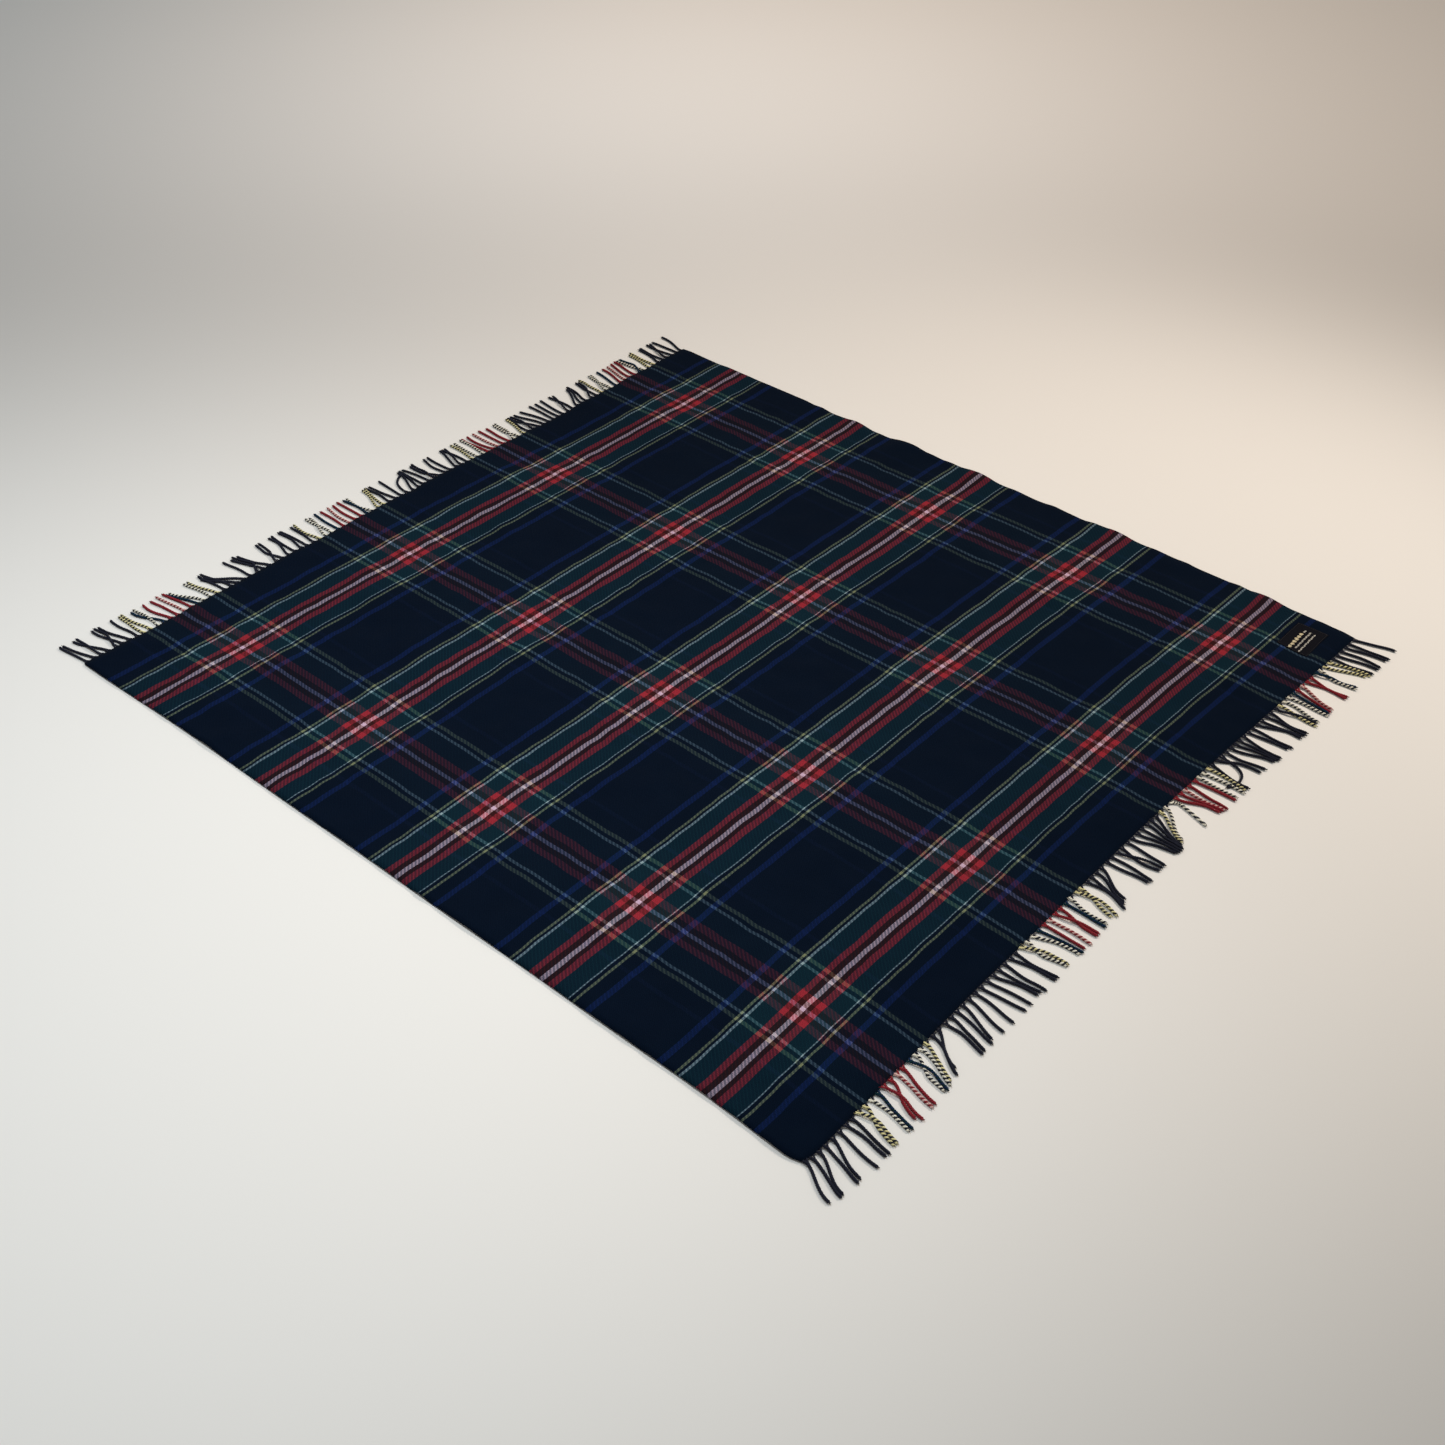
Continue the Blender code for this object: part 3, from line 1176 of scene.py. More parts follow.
@dataclass
class Fringe:
    """The tassels along one woven end, in the runs of one colour that the frame has."""

    shape: ClothShape
    comb: Comb
    tassels_per_end: int = 106
    length: float = 0.068
    twist_radius: float = 0.00110
    ply_radius: float = 0.00140
    root_spread: float = 0.0028
    tip_gap: float = 0.0048
    tip_gap_spread: float = 0.0025
    stray: float = 0.0045
    bow: float = 0.0018
    wiggle: float = 0.0006
    crossing_lift: float = 0.0022
    floor_clearance: float = 0.0003
    line_points: int = 12
    root_threads: int = 8
    frayed_threads: int = 6
    pieces: list[bpy.types.Object] = field(default_factory=list)

    def build(self, tree: "TasselTree", finishes: dict[str, bpy.types.Material]) -> None:
        """Lay the tassels out and make one piece for each run of the frame.

        Args:
            tree: The node tree that twists the yarn.
            finishes: The yarn material for each colour name.
        """
        self.rng = np.random.default_rng(self.comb.seed)
        tassels = self.lay_out()
        pitch = self.shape.width / self.tassels_per_end
        word = self.comb.end.word
        for node in sorted(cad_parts):
            if not node.startswith(f"{word}_fringe_"):
                continue
            low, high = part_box(node)
            first = round((low.x + self.shape.width / 2) / pitch)
            count = round((high.x - low.x) / pitch)
            colour = node.split("_")[2]
            name = node.replace("fringe", "tassels")
            guide = self.guide_object(name, tassels[first : first + count])
            tree.twist(guide, self, finishes[colour])
            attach(guide, f"{word}_half")
            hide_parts(node)
            self.pieces.append(guide)

    def lay_out(self) -> list[Tassel]:
        """Work out the line of every tassel, bunch by bunch.

        Returns:
            The tassels, from the left selvedge to the right one.
        """
        pitch = self.shape.width / self.tassels_per_end
        places = (np.arange(self.tassels_per_end) + 0.5) * pitch
        set_bunches = {first: (size, lean) for first, size, lean in self.comb.set_bunches}
        tassels: list[Tassel] = []
        while len(tassels) < self.tassels_per_end:
            first = len(tassels)
            size = 1 + int(self.rng.choice(4, p=self.comb.bunch_weights))
            stray = float(self.rng.normal(0.0, self.stray))
            stop = min([n for n in set_bunches if n > first], default=self.tassels_per_end)
            members = places[first : min(first + size, stop)]
            lean = self.comb.lean_at(float(members.mean())) + stray
            if first in set_bunches:
                size, lean = set_bunches[first]
                members = places[first : first + size]
            tassels += self.lay_bunch(members, lean)
        for number, route in self.comb.bent:
            tassels[number] = self.lay_bent(float(places[number]), route)
        return tassels

    def lay_bunch(self, places: np.ndarray, lean: float) -> list[Tassel]:
        """Lay out tassels whose tips meet.

        Args:
            places: The tassels' distances from the left selvedge.
            lean: How far the bunch's tips stray along X.

        Returns:
            The tassels.
        """
        count = len(places)
        order = list(range(count))
        lifts = [0.0] * count
        if count > 1 and self.rng.random() < self.comb.crossing_share:
            swap = int(self.rng.integers(count - 1))
            order[swap], order[swap + 1] = order[swap + 1], order[swap]
            lifts[swap] = self.crossing_lift
        gap = self.tip_gap + self.rng.uniform(0.0, self.tip_gap_spread)
        meet = self.rng.uniform(0.45, 0.95)
        centre = float(places.mean())
        tassels = []
        for member, place in enumerate(places):
            gather = centre + (order[member] - (count - 1) / 2) * gap - float(place)
            tassels.append(self.lay_one(float(place), lean, gather, meet, lifts[member]))
        return tassels

    def lay_one(self, place: float, lean: float, gather: float, meet: float, lift: float) -> Tassel:
        """Lay out one tassel as a soft curve from its root to its tip.

        Args:
            place: The root's distance from the left selvedge.
            lean: How far the bunch's tips stray along X.
            gather: How far this tip moves along X to join the others of its bunch.
            meet: The share of the length at which it has joined them.
            lift: How far it rises where it passes over its neighbour.

        Returns:
            The tassel.
        """
        reach = self.length * self.rng.uniform(0.95, 1.01)
        bow = self.rng.normal(0.0, self.bow)
        share = np.linspace(0.0, 1.0, self.line_points)
        across = lean * (0.35 * share + 0.65 * smoothstep(0.0, 1.0, share))
        across += gather * smoothstep(0.02, meet, share) + bow * np.sin(math.pi * share)
        wiggle, phase = self.rng.normal(0.0, self.wiggle), self.rng.uniform(0.0, 6.0)
        across += wiggle * np.sin(2 * math.pi * share + phase)
        aside = lean + gather
        outward = share * math.sqrt(max(reach**2 - aside**2, (0.8 * reach) ** 2))
        rise = lift * np.exp(-(((share - 0.55 * meet) / 0.24) ** 2))
        return Tassel(place, self.laid_line(place, across, outward, rise))

    def lay_bent(self, place: float, route: tuple[tuple[float, float], ...]) -> Tassel:
        """Lay out a tassel that lies bent, on a smooth line through a few places.

        Args:
            place: The root's distance from the left selvedge.
            route: The places along it, each across and outward from the root.

        Returns:
            The tassel.
        """
        grid = np.array(route, float)[None, :, :].repeat(2, axis=0)
        column = np.linspace(0.0, len(route) - 1.0, self.line_points)
        places = between(grid, column, np.zeros_like(column))
        level = np.zeros(self.line_points)
        return Tassel(place, self.laid_line(place, places[:, 0], places[:, 1], level))

    def laid_line(
        self, place: float, across: np.ndarray, outward: np.ndarray, rise: np.ndarray
    ) -> np.ndarray:
        """Turn a route from a root into a line that drops to the floor and lies on it.

        Args:
            place: The root's distance from the left selvedge.
            across: The route's distances along X from the root.
            outward: The route's distances away from the cloth.
            rise: How far the line stands over the floor's own height.

        Returns:
            The line's points.
        """
        down = 0.0 if self.comb.end is End.FAR else self.shape.length
        root = self.shape.at(np.array(place), np.array(down))
        share = np.linspace(0.0, 1.0, len(across))
        rest = self.twist_radius + self.ply_radius + self.floor_clearance
        z = root[2] + (rest - root[2]) * smoothstep(0.0, 0.12, share) + rise
        return np.stack([root[0] + across, root[1] + self.comb.end.value * outward, z], axis=-1)

    def guide_object(self, name: str, tassels: list[Tassel]) -> bpy.types.Object:
        """Make the lines that the yarn follows, with what each line carries.

        Args:
            name: The piece's name.
            tassels: The tassels of one run.

        Returns:
            An object of loose edges. Its points know their share of the length, whether they are a
            whole tassel or one loose thread, and the colours of both plies: dyes with painted light
            and shade.
        """
        points, edges, shares, kinds, first_lit_dyes, second_lit_dyes = [], [], [], [], [], []

        def add_line(line: np.ndarray, kind: float, dyes: tuple[Dye, Dye]) -> None:
            """Add one line with its kind and its dyes."""
            base = len(points)
            points.extend(line)
            edges.extend((base + i, base + i + 1) for i in range(len(line) - 1))
            shares.extend(np.linspace(0.0, 1.0, len(line)))
            kinds.extend([kind] * len(line))
            first_lit_dyes.extend([dyes[0].loose] * len(line))
            second_lit_dyes.extend([dyes[1].loose] * len(line))

        for tassel in tassels:
            dyes = tassel_dyes(tassel.place)
            add_line(tassel.line, 0.0, dyes)
            for number, line in enumerate(self.loose_threads(tassel)):
                dye = dyes[number % 2]
                add_line(line, 1.0, (dye, dye))
        guide = mesh_object(name, np.array(points), edges, [])
        carry(guide, "FLOAT", {"share": shares, "kind": kinds})
        carry(guide, "FLOAT_VECTOR", {"first_dye": first_lit_dyes, "second_dye": second_lit_dyes})
        return guide

    def loose_threads(self, tassel: Tassel) -> list[np.ndarray]:
        """Work out the single threads at a tassel's root and the frayed ones at its tip.

        Args:
            tassel: The tassel.

        Returns:
            A line for each thread.
        """
        threads = []
        join = tassel.line[2]
        outward = self.comb.end.value
        for number in range(self.root_threads):
            offset = (number - (self.root_threads - 1) / 2) * WARP.pitch
            start = tassel.line[0] + np.array([offset, -outward * 0.0015, 0.0])
            start[2] += self.rng.uniform(-0.0003, 0.0004)
            goal = join + np.array([offset * 0.12, 0.0, self.rng.uniform(-0.0006, 0.0008)])
            share = np.array([0.0, 0.45, 0.85, 1.0])
            line = start + (goal - start) * np.linspace(0.0, 1.0, 4)[:, None]
            line[:, 0] = start[0] + (goal[0] - start[0]) * share
            threads.append(line)
        tip, before = tassel.line[-1], tassel.line[-2]
        ahead = (tip - before) / np.linalg.norm(tip - before)
        for _ in range(self.frayed_threads):
            angle = self.rng.uniform(0.0, 2 * math.pi)
            spread = self.rng.uniform(0.2, 1.0)
            side = np.array([math.cos(angle) * spread, 0.0, 0.6 * math.sin(angle) * spread])
            reach = self.rng.uniform(0.0012, 0.0032)
            start = tip - ahead * 0.002 + side * 0.0008
            middle = tip + ahead * reach * 0.5 + side * 0.0012
            end = tip + ahead * reach + side * 0.0018
            line = np.stack([start, middle, end])
            line[:, 2] = np.maximum(line[:, 2], 0.0006)
            threads.append(line)
        return threads


@dataclass
class TasselTree:
    """The node tree that turns guide lines into two-ply tassels and single threads."""

    name: str = "twist_tassels"
    turns: float = 10.0
    sides: int = 5
    steps: int = 52
    twist_start: float = 0.08
    swell_end: float = 0.25
    root_swell: float = 0.62
    binding: tuple[float, float] = (0.93, 0.97)
    tip_swell: float = 1.14
    thread_radius: float = 0.00038
    thread_length: float = 0.010
    thread_sides: int = 3
    taper_start: float = 0.4
    thread_tip: float = 0.6
    tree: bpy.types.NodeTree | None = None

    def build(self) -> None:
        """Build the tree with its named inputs."""
        inputs = {
            "Geometry": ("Guides",),
            "Float": (
                "Turns",
                "Twist Radius",
                "Ply Radius",
                "Root Spread",
                "Length",
                "Thread Radius",
                "Thread Length",
            ),
            "Int": ("Sides", "Steps"),
            "Material": ("Yarn",),
        }
        self.tree = geometry_tree(self.name, inputs)
        sketch = NodeSketch(self.tree)
        given = sketch.add("NodeGroupInput").outputs
        whole = sketch.math("LESS_THAN", sketch.read("kind"), 0.5)
        parted_inputs = {"Geometry": given["Guides"], "Selection": whole}
        parted = sketch.add("GeometryNodeSeparateGeometry", parted_inputs, domain="POINT")
        plies = self.plies(sketch, parted.outputs["Selection"], given)
        threads = self.threads(sketch, parted.outputs["Inverted"], given)
        joined = sketch.add("GeometryNodeJoinGeometry")
        for part in (threads, plies):
            self.tree.links.new(part, joined.inputs[0])
        finish_tree(sketch, joined.outputs[0], given["Yarn"])

    def store(self, sketch: NodeSketch, geometry: Socket, name: str, value: Socket) -> Socket:
        """Store a vector on points.

        Args:
            sketch: The tree.
            geometry: The geometry that carries it.
            name: The attribute's name.
            value: The vector.

        Returns:
            The geometry.
        """
        settings = {"data_type": "FLOAT_VECTOR", "domain": "POINT"}
        inputs = {"Geometry": geometry, "Name": name}
        node = sketch.add("GeometryNodeStoreNamedAttribute", inputs, **settings)
        sketch.tree.links.new(value, node.inputs["Value"])
        return node.outputs["Geometry"]

    def sweep(self, sketch: NodeSketch, rail: Socket, radius: Value, sides: Value) -> Socket:
        """Sweep a round section along rails, and note on which side of the strand each point is.

        Args:
            sketch: The tree.
            rail: The curves to follow, each with its own radius factor.
            radius: The strand's radius.
            sides: The number of sides.

        Returns:
            The mesh.
        """
        circle_inputs = {"Resolution": sides, "Radius": radius}
        circle = sketch.add("GeometryNodeCurvePrimitiveCircle", circle_inputs).outputs["Curve"]
        around = sketch.vector("NORMALIZE", sketch.add("GeometryNodeInputPosition").outputs[0])
        section = self.store(sketch, circle, SIDE_ATTRIBUTE, around)
        inputs = {"Curve": rail, "Profile Curve": section, "Fill Caps": True}
        return sketch.add("GeometryNodeCurveToMesh", inputs).outputs["Mesh"]

    def plies(self, sketch: NodeSketch, guides: Socket, given: bpy.types.NodeOutputs) -> Socket:
        """Twist two plies round every tassel's line.

        Args:
            sketch: The tree.
            guides: The tassels' lines.
            given: The tree's inputs.

        Returns:
            The plies' mesh.
        """
        curve = sketch.add("GeometryNodeMeshToCurve", {"Mesh": guides}).outputs["Curve"]
        for kind, inputs, settings in (
            ("CurveSplineType", {}, {"spline_type": "CATMULL_ROM"}),
            ("ResampleCurve", {"Count": given["Steps"]}, {}),
            ("SetCurveNormal", {}, {"mode": "Z_UP"}),
        ):
            node = sketch.add(f"GeometryNode{kind}", {"Curve": curve, **inputs}, **settings)
            curve = node.outputs[0]
        inputs = {"Geometry": curve, "Amount": 2}
        doubled = sketch.add("GeometryNodeDuplicateElements", inputs, domain="SPLINE").outputs
        ply = doubled["Duplicate Index"]
        share = sketch.read("share")
        offset = self.offset(sketch, share, ply, given)
        moved_inputs = {"Geometry": doubled["Geometry"], "Offset": offset}
        moved = sketch.add("GeometryNodeSetPosition", moved_inputs).outputs[0]
        swell = sketch.ease(share, 0.0, self.swell_end, self.root_swell, 1.0)
        bound = sketch.ease(share, *self.binding, 1.0, self.tip_swell)
        radius = sketch.math("MULTIPLY", swell, bound)
        sized = sketch.add("GeometryNodeSetCurveRadius", {"Curve": moved, "Radius": radius})
        first_share = sketch.math("SUBTRACT", 1.0, ply)
        first = sketch.vector("SCALE", sketch.read("first_dye", "FLOAT_VECTOR"), first_share)
        second = sketch.vector("SCALE", sketch.read("second_dye", "FLOAT_VECTOR"), ply)
        metres = sketch.math("MULTIPLY", share, given["Length"])
        rail = self.store(sketch, sized.outputs[0], YARN_ATTRIBUTE, sketch.join(metres, 0.0))
        rail = self.store(sketch, rail, LIT_DYE_ATTRIBUTE, sketch.vector("ADD", first, second))
        return self.sweep(sketch, rail, given["Ply Radius"], given["Sides"])

    def offset(
        self, sketch: NodeSketch, share: Socket, ply: Socket, given: bpy.types.NodeOutputs
    ) -> Socket:
        """Work out how far a ply stands off its tassel's line as it winds round.

        Args:
            sketch: The tree.
            share: The share of the tassel's length.
            ply: The ply's number, 0 or 1.
            given: The tree's inputs.

        Returns:
            The offset.
        """
        turned = sketch.math("SUBTRACT", share, self.twist_start)
        turned = sketch.math("MULTIPLY", sketch.math("MAXIMUM", turned, 0.0), given["Turns"])
        opposite = sketch.math("MULTIPLY", ply, math.pi)
        phase = sketch.math("MULTIPLY_ADD", turned, 2 * math.pi, opposite)
        radii = (given["Root Spread"], given["Twist Radius"])
        reach = sketch.ease(share, 0.0, self.twist_start, *radii)
        tangent = sketch.add("GeometryNodeInputTangent").outputs[0]
        level = sketch.vector("CROSS_PRODUCT", tangent, (0.0, 0.0, 1.0))
        level = sketch.vector("NORMALIZE", level)
        upright = sketch.vector("CROSS_PRODUCT", level, tangent)
        steps = []
        for direction, wave in ((level, "COSINE"), (upright, "SINE")):
            length = sketch.math("MULTIPLY", sketch.math(wave, phase), reach)
            steps.append(sketch.vector("SCALE", direction, length))
        return sketch.vector("ADD", *steps)

    def threads(self, sketch: NodeSketch, guides: Socket, given: bpy.types.NodeOutputs) -> Socket:
        """Make the single threads at the roots and the tips.

        Args:
            sketch: The tree.
            guides: The threads' lines.
            given: The tree's inputs.

        Returns:
            The threads' mesh.
        """
        curve = sketch.add("GeometryNodeMeshToCurve", {"Mesh": guides}).outputs["Curve"]
        share = sketch.read("share")
        taper = sketch.ease(share, self.taper_start, 1.0, 1.0, self.thread_tip)
        sized = sketch.add("GeometryNodeSetCurveRadius", {"Curve": curve, "Radius": taper})
        metres = sketch.math("MULTIPLY", share, given["Thread Length"])
        rail = self.store(sketch, sized.outputs[0], YARN_ATTRIBUTE, sketch.join(metres, 0.0))
        rail = self.store(sketch, rail, LIT_DYE_ATTRIBUTE, sketch.read("first_dye", "FLOAT_VECTOR"))
        return self.sweep(sketch, rail, given["Thread Radius"], self.thread_sides)

    def twist(self, guide: bpy.types.Object, fringe: Fringe, yarn: bpy.types.Material) -> None:
        """Turn a guide object into its tassels' plain mesh.

        Args:
            guide: The object of guide lines.
            fringe: The fringe that it belongs to, which has the sizes.
            yarn: The material.
        """
        modifier = guide.modifiers.new("Twist", "NODES")
        modifier.node_group = self.tree
        values = {
            "Turns": self.turns,
            "Twist Radius": fringe.twist_radius,
            "Ply Radius": fringe.ply_radius,
            "Root Spread": fringe.root_spread,
            "Length": fringe.length,
            "Thread Radius": self.thread_radius,
            "Thread Length": self.thread_length,
            "Sides": self.sides,
            "Steps": self.steps,
            "Yarn": yarn,
        }
        set_inputs(modifier, values)
        bake_modifiers(guide)


@dataclass
class StitchTree:
    """The node tree that lays one short flat thread on each of an object's loose points."""

    name: str = "lay_threads"
    segments: int = 6
    rings: int = 4
    tree: bpy.types.NodeTree | None = None

    def build(self) -> None:
        """Build the tree with its named inputs."""
        inputs = {
            "Geometry": ("Places",),
            "Float": ("Width", "Height"),
            "Int": ("Segments", "Rings"),
            "Material": ("Thread",),
        }
        self.tree = geometry_tree(self.name, inputs)
        sketch = NodeSketch(self.tree)
        given = sketch.add("NodeGroupInput").outputs
        ball_inputs = {"Segments": given["Segments"], "Rings": given["Rings"], "Radius": 0.5}
        ball = sketch.add("GeometryNodeMeshUVSphere", ball_inputs).outputs["Mesh"]
        laid_inputs = {
            "Points": given["Places"],
            "Instance": ball,
            "Rotation": sketch.join(0.0, 0.0, sketch.read("turn")),
            "Scale": sketch.join(given["Width"], sketch.read("length"), given["Height"]),
        }
        laid = sketch.add("GeometryNodeInstanceOnPoints", laid_inputs)
        finish_tree(sketch, laid.outputs[0], given["Thread"])

    def lay(
        self, places: bpy.types.Object, width: float, height: float, thread: bpy.types.Material
    ) -> None:
        """Turn an object of loose points into its threads' plain mesh.

        Args:
            places: The object of points.
            width: The threads' width.
            height: The threads' height.
            thread: The material.
        """
        modifier = places.modifiers.new("Lay", "NODES")
        modifier.node_group = self.tree
        values = {"Width": width, "Height": height, "Segments": self.segments, "Rings": self.rings}
        set_inputs(modifier, {**values, "Thread": thread})
        bake_modifiers(places)


@dataclass(frozen=True)
class WovenRow:
    """One row of the label's weaving: satin threads side by side, in plain repeating shapes.

    A row starts and ends at distances from the label's left edge, and lies at a distance from its
    far one. Its shapes repeat every unit, each either pointed or a plain bar.
    """

    start: float
    end: float
    down: float
    height: float
    unit: float
    pointed: bool
    gap_share: float = 0.2

    def threads(self, pitch: float) -> tuple[np.ndarray, np.ndarray]:
        """Work out the row's threads.

        Args:
            pitch: The distance between two threads.

        Returns:
            The threads' distances from the label's left edge, and their lengths.
        """
        across = np.arange(self.start, self.end, pitch)
        share = ((across - self.start) / self.unit) % 1.0
        if self.pointed:
            lengths = self.height * (0.45 + 0.55 * (1.0 - np.abs(2.0 * share - 1.0)))
        else:
            lengths = np.full_like(across, self.height)
        lengths = np.where(share < 1.0 - self.gap_share, lengths, 0.0)
        kept = lengths > 0.0
        return across[kept], lengths[kept]


@dataclass
class Label:
    """The small woven label, with its woven rows and the stitches round its edge."""

    shape: ClothShape
    thickness: float = 0.0006
    lift: float = 0.0003
    cell: float = 0.0037
    thread_pitch: float = 0.00066
    thread_width: float = 0.00078
    thread_height: float = 0.0005
    stitch_inset: float = 0.0018
    stitch_pitch: float = 0.0034
    stitch_length: float = 0.0026
    gold_rows: tuple[WovenRow, ...] = (WovenRow(0.003, 0.0525, 0.0195, 0.0105, 0.0082, True),)
    pale_rows: tuple[WovenRow, ...] = (
        WovenRow(0.055, 0.0625, 0.0200, 0.0040, 0.0082, False),
        WovenRow(0.009, 0.0620, 0.0292, 0.0038, 0.0066, False),
        WovenRow(0.004, 0.0600, 0.0375, 0.0036, 0.0056, False),
    )
    gold: tuple[float, float, float] = (0.68, 0.60, 0.40)
    pale: tuple[float, float, float] = (0.52, 0.50, 0.45)
    dark: tuple[float, float, float] = (0.010, 0.010, 0.014)
    patch: bpy.types.Object | None = None
    pieces: list[bpy.types.Object] = field(default_factory=list)

    def build(self, tree: StitchTree) -> None:
        """Make the label's patch, its woven rows and its stitches.

        Args:
            tree: The node tree that lays threads.
        """
        low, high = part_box("woven_label")
        self.left = low.x + self.shape.width / 2
        self.top = self.shape.length / 2 - high.y
        self.width, self.height = high.x - low.x, high.y - low.y
        self.make_patch()
        self.make_rows("label_gold_row", self.gold_rows, self.gold, tree)
        self.make_rows("label_pale_rows", self.pale_rows, self.pale, tree)
        self.make_stitches(tree)

    def on_patch(self, across: np.ndarray, down: np.ndarray, above: float) -> np.ndarray:
        """Find places over the cloth under the label.

        The label lies square in the frame, so the cloth is asked for its height only.

        Args:
            across: Distances from the label's left edge.
            down: Distances from its far edge.
            above: The height over the cloth's top surface.

        Returns:
            The places.
        """
        x = self.left + across - self.shape.width / 2
        y = self.shape.length / 2 - self.top - down
        surface = self.shape.at(self.left + across, self.top + down)
        z = surface[..., 2] + self.shape.thickness / 2 + above
        return np.stack([x, y, z], axis=-1)

    def make_patch(self) -> None:
        """Make the patch, a thin sheet on the cloth."""
        across, down = np.meshgrid(
            np.linspace(0.0, self.width, round(self.width / self.cell) + 1),
            np.linspace(0.0, self.height, round(self.height / self.cell) + 1),
        )
        points = self.on_patch(across, down, self.lift + self.thickness / 2)
        self.patch = grid_object("label_patch", points)
        map_flat(self.patch, LABEL_UV, np.stack([across.ravel(), down.ravel()], axis=-1))
        smooth(self.patch)
        solid = self.patch.modifiers.new("Thickness", "SOLIDIFY")
        solid.thickness = self.thickness
        solid.offset = 0.0
        bake_modifiers(self.patch)

    def places(
        self,
        name: str,
        across: np.ndarray,
        down: np.ndarray,
        lengths: np.ndarray,
        turns: np.ndarray,
    ) -> bpy.types.Object:
        """Make an object of loose points on the label's top.

        Args:
            name: The object's name.
            across: The points' distances from the label's left edge.
            down: Their distances from its far edge.
            lengths: The length of each point's thread.
            turns: The turn of each thread about Z.

        Returns:
            The object.
        """
        points = self.on_patch(across, down, self.lift + self.thickness)
        made = mesh_object(name, points, [], [])
        carry(made, "FLOAT", {"length": lengths, "turn": turns})
        return made

    def make_rows(
        self,
        name: str,
        rows: tuple[WovenRow, ...],
        light: tuple[float, float, float],
        tree: StitchTree,
    ) -> None:
        """Weave rows of one colour.

        Args:
            name: The piece's name.
            rows: The rows.
            light: The thread's colour.
            tree: The node tree that lays threads.
        """
        across, down, lengths = [], [], []
        for row in rows:
            row_across, row_lengths = row.threads(self.thread_pitch)
            across.append(row_across)
            lengths.append(row_lengths)
            down.append(np.full_like(row_across, row.down) + 0.00035 * np.sin(row_across * 9000.0))
        joined = np.concatenate(across)
        turns = np.zeros_like(joined)
        made = self.places(name, joined, np.concatenate(down), np.concatenate(lengths), turns)
        thread = ThreadFinish(f"{name}_thread", light).material()
        tree.lay(made, self.thread_width, self.thread_height, thread)
        self.pieces.append(made)

    def make_stitches(self, tree: StitchTree) -> None:
        """Sew the label down with a line of stitches round its edge.

        Args:
            tree: The node tree that lays threads.
        """
        inset = self.stitch_inset
        along_x = np.arange(inset + self.stitch_pitch / 2, self.width - inset, self.stitch_pitch)
        along_y = np.arange(inset + self.stitch_pitch / 2, self.height - inset, self.stitch_pitch)
        left, right = np.full_like(along_y, inset), np.full_like(along_y, self.width - inset)
        far, near = np.full_like(along_x, inset), np.full_like(along_x, self.height - inset)
        across = np.concatenate([along_x, right, along_x, left])
        down = np.concatenate([far, along_y, near, along_y])
        quarter = np.full_like(along_x, math.pi / 2)
        turns = np.concatenate([quarter, np.zeros_like(along_y)] * 2)
        lengths = np.full_like(across, self.stitch_length)
        made = self.places("label_stitches", across, down, lengths, turns)
        thread = ThreadFinish("label_sewing_thread", self.dark).material()
        tree.lay(made, self.thread_width, self.thread_height, thread)
        self.pieces.append(made)

    def dress(self) -> None:
        """Give the label its finish, and let every piece of it move with the near half."""
        self.patch.data.materials.clear()
        self.patch.data.materials.append(LabelWeaveFinish().material())
        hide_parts("woven_label")
        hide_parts("label_stitching")
        for piece in (self.patch, *self.pieces):
            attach(piece, NEAR_BODY)


@dataclass(frozen=True)
class Lamp:
    """One soft lamp: an AREA panel with its side in metres, or a SPOT with its angle in radians."""

    name: str
    kind: str
    place: tuple[float, float, float]
    aim: tuple[float, float, float]
    watts: tuple[float, float, float]
    spread: float
    radius: float = 0.35

    def hang(self) -> None:
        """Make the lamp, facing its aim and unseen by the camera."""
        light = bpy.data.lights.new(self.name, self.kind)
        if self.kind == "AREA":
            light.size = self.spread
        else:
            light.spot_size = self.spread
            light.spot_blend = 1.0
            light.shadow_soft_size = self.radius
        light.energy = max(self.watts)
        light.color = [share / max(self.watts) for share in self.watts]
        lamp = bpy.data.objects.new(self.name, light)
        lamp.location = self.place
        facing = Vector(self.aim) - Vector(self.place)
        lamp.rotation_euler = facing.to_track_quat("-Z", "Y").to_euler()
        lamp.visible_camera = False
        bpy.context.scene.collection.objects.link(lamp)


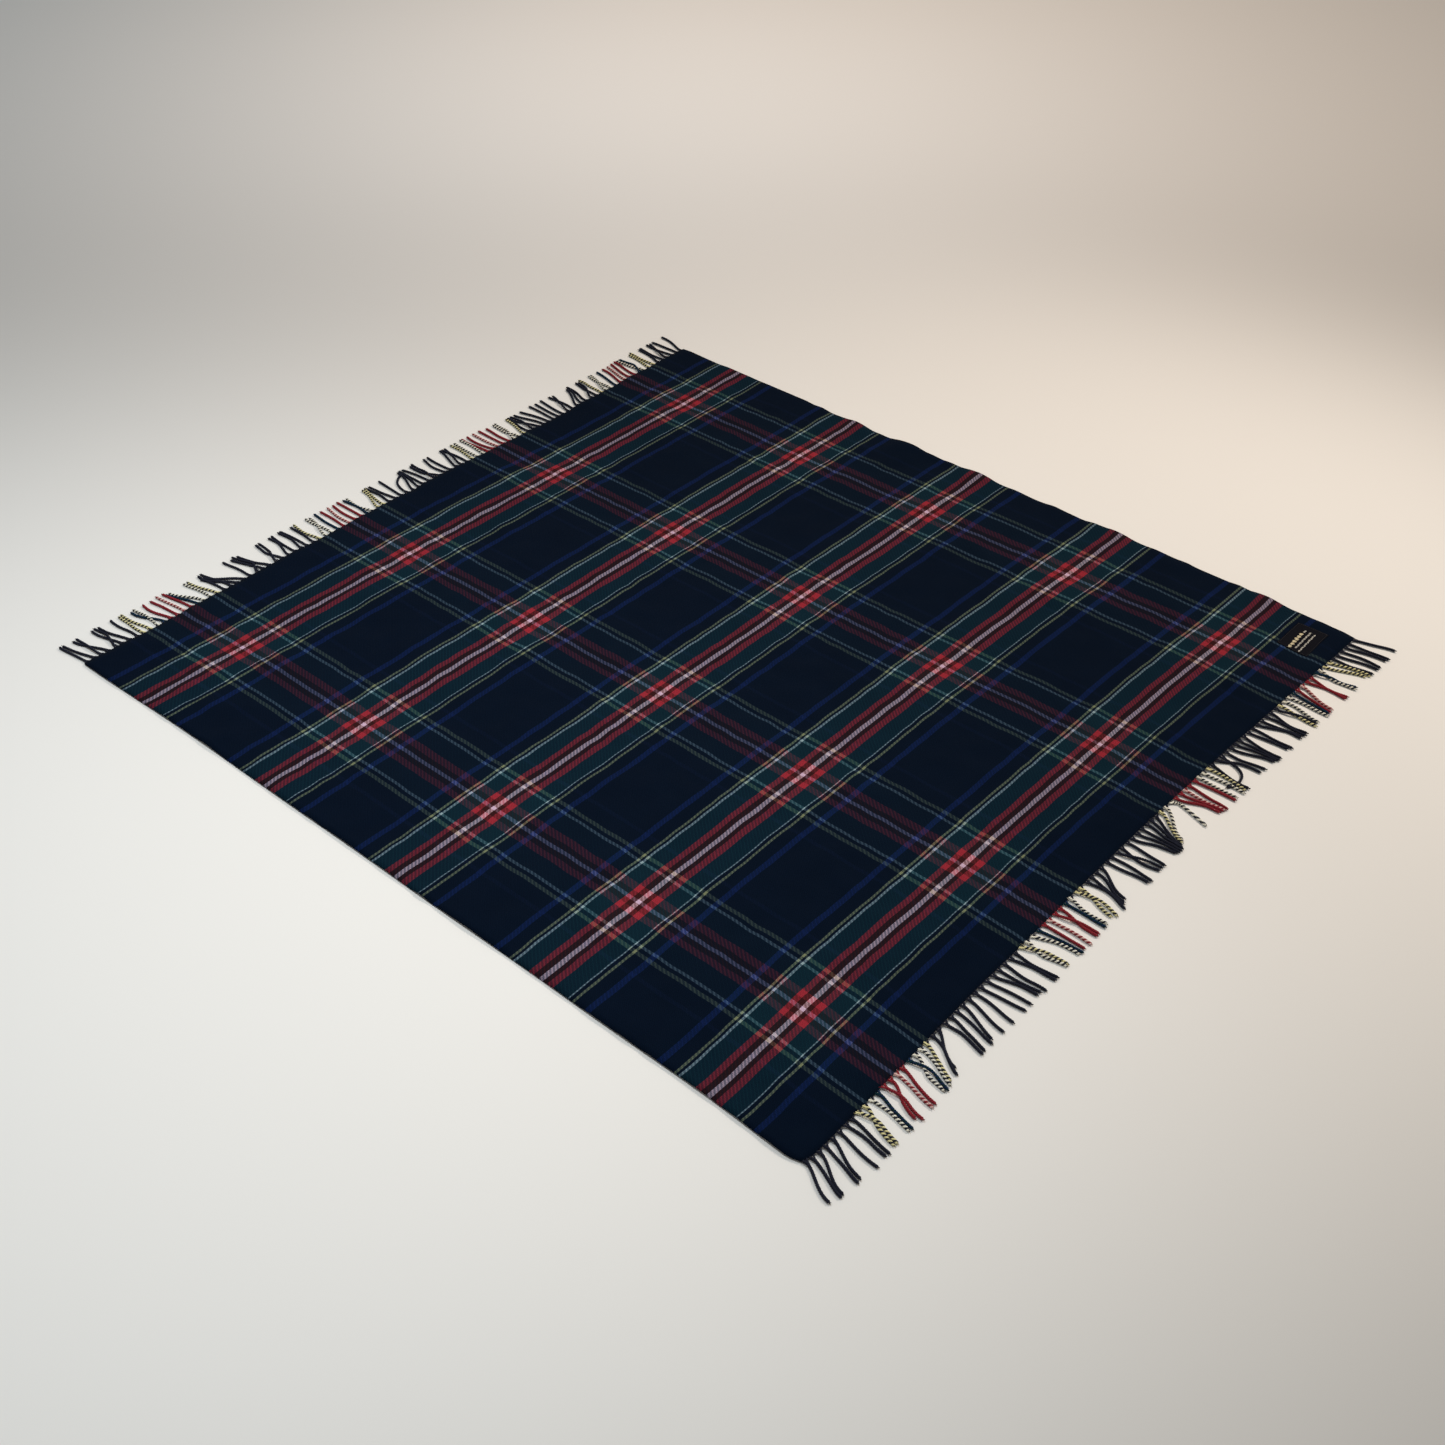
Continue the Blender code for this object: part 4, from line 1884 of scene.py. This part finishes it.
@dataclass
class Studio:
    """The pale floor, the soft lights and the camera."""

    floor_size: float = 30.0
    floor_light: tuple[float, float, float] = (0.80, 0.80, 0.79)
    camera_place: tuple[float, float, float] = (-1.80847, -1.54151, 1.77927)
    camera_turn: tuple[float, float, float] = (50.983, -0.690, -48.791)
    lens: float = 46.436
    sky_light: tuple[float, float, float] = (1.0, 0.99, 0.95)
    sky_strength: float = 0.29
    lamps: tuple[Lamp, ...] = (
        Lamp("panel", "AREA", (1.5, 1.48, 2.2), (2.5, 2.47, 0.0), (18.4, 22.4, 25.4), 1.29),
        Lamp("left_lamp", "SPOT", (-0.76, 0.21, 2.83), (-1.2, 0.28, 0.0), (177, 185, 187), 1.41),
        Lamp("warm_lamp", "SPOT", (1.97, 1.81, 3.34), (2.77, 0.94, 0.0), (150, 78, 22.2), 2.10),
        Lamp("right_lamp", "SPOT", (2.0, -1.48, 3.0), (0.39, -0.47, 0.0), (309, 274, 238), 0.94),
    )
    floor: bpy.types.Object | None = None

    def build(self) -> None:
        """Make the floor, the lights and the camera."""
        self.make_floor()
        self.make_world()
        for lamp in self.lamps:
            lamp.hang()
        self.make_camera()

    def make_floor(self) -> None:
        """Make the floor."""
        half = self.floor_size / 2
        corners = [(-half, -half, 0.0), (half, -half, 0.0), (half, half, 0.0), (-half, half, 0.0)]
        self.floor = mesh_object("studio_floor", np.array(corners), [], [(0, 1, 2, 3)])
        material = bpy.data.materials.new("studio_paper")
        material.use_nodes = True
        shader = material.node_tree.nodes["Principled BSDF"]
        shader.inputs["Base Color"].default_value = (*self.floor_light, 1.0)
        shader.inputs["Roughness"].default_value = 0.9
        shader.inputs["Specular IOR Level"].default_value = 0.1
        self.floor.data.materials.append(material)

    def make_world(self) -> None:
        """Fill the room with even grey light."""
        scene = bpy.context.scene
        if scene.world is None:
            scene.world = bpy.data.worlds.new("studio")
        scene.world.use_nodes = True
        sky = scene.world.node_tree.nodes["Background"]
        sky.inputs["Color"].default_value = (*self.sky_light, 1.0)
        sky.inputs["Strength"].default_value = self.sky_strength
        scene.view_settings.view_transform = "Standard"

    def make_camera(self) -> None:
        """Stand the camera in front of the near left side, looking down at the throw."""
        data = bpy.data.cameras.new("camera")
        data.lens = self.lens
        data.sensor_width = 36.0
        camera = bpy.data.objects.new("camera", data)
        camera.location = self.camera_place
        camera.rotation_euler = Euler([math.radians(a) for a in self.camera_turn], "XYZ")
        bpy.context.scene.collection.objects.link(camera)
        bpy.context.scene.camera = camera


def main() -> None:
    """Build the studio and the throw, piece by piece."""
    logging.basicConfig(level=logging.INFO, format="%(name)s: %(message)s")
    studio = Studio()
    studio.build()

    low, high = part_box("far_cloth")
    near_low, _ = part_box("near_cloth")
    shape = ClothShape(high.x - low.x, high.y - near_low.y, 0.8 * (high.z - low.z))
    shape.build(settle=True)
    cloth = ThrowCloth(shape)
    cloth.build()
    cloth.dress(TwillFinish())
    log.info("throw_cloth: %d faces", len(cloth.piece.data.polygons))

    tree = TasselTree()
    tree.build()
    yarns = {
        dye.name.lower(): YarnFinish(f"{dye.name.lower()}_tassel_yarn", dye).material()
        for dye in (Dye.NAVY, Dye.GREEN, Dye.RED)
    }
    fringes = [Fringe(shape, FAR_COMB), Fringe(shape, NEAR_COMB)]
    for fringe in fringes:
        fringe.build(tree, yarns)
        faces = sum(len(piece.data.polygons) for piece in fringe.pieces)
        log.info("%s fringe: %d pieces, %d faces", fringe.comb.end.word, len(fringe.pieces), faces)

    stitch_tree = StitchTree()
    stitch_tree.build()
    label = Label(shape)
    label.build(stitch_tree)
    label.dress()
    for piece in (label.patch, *label.pieces):
        log.info("%s: %d faces", piece.name, len(piece.data.polygons))


if __name__ == "__main__":
    main()
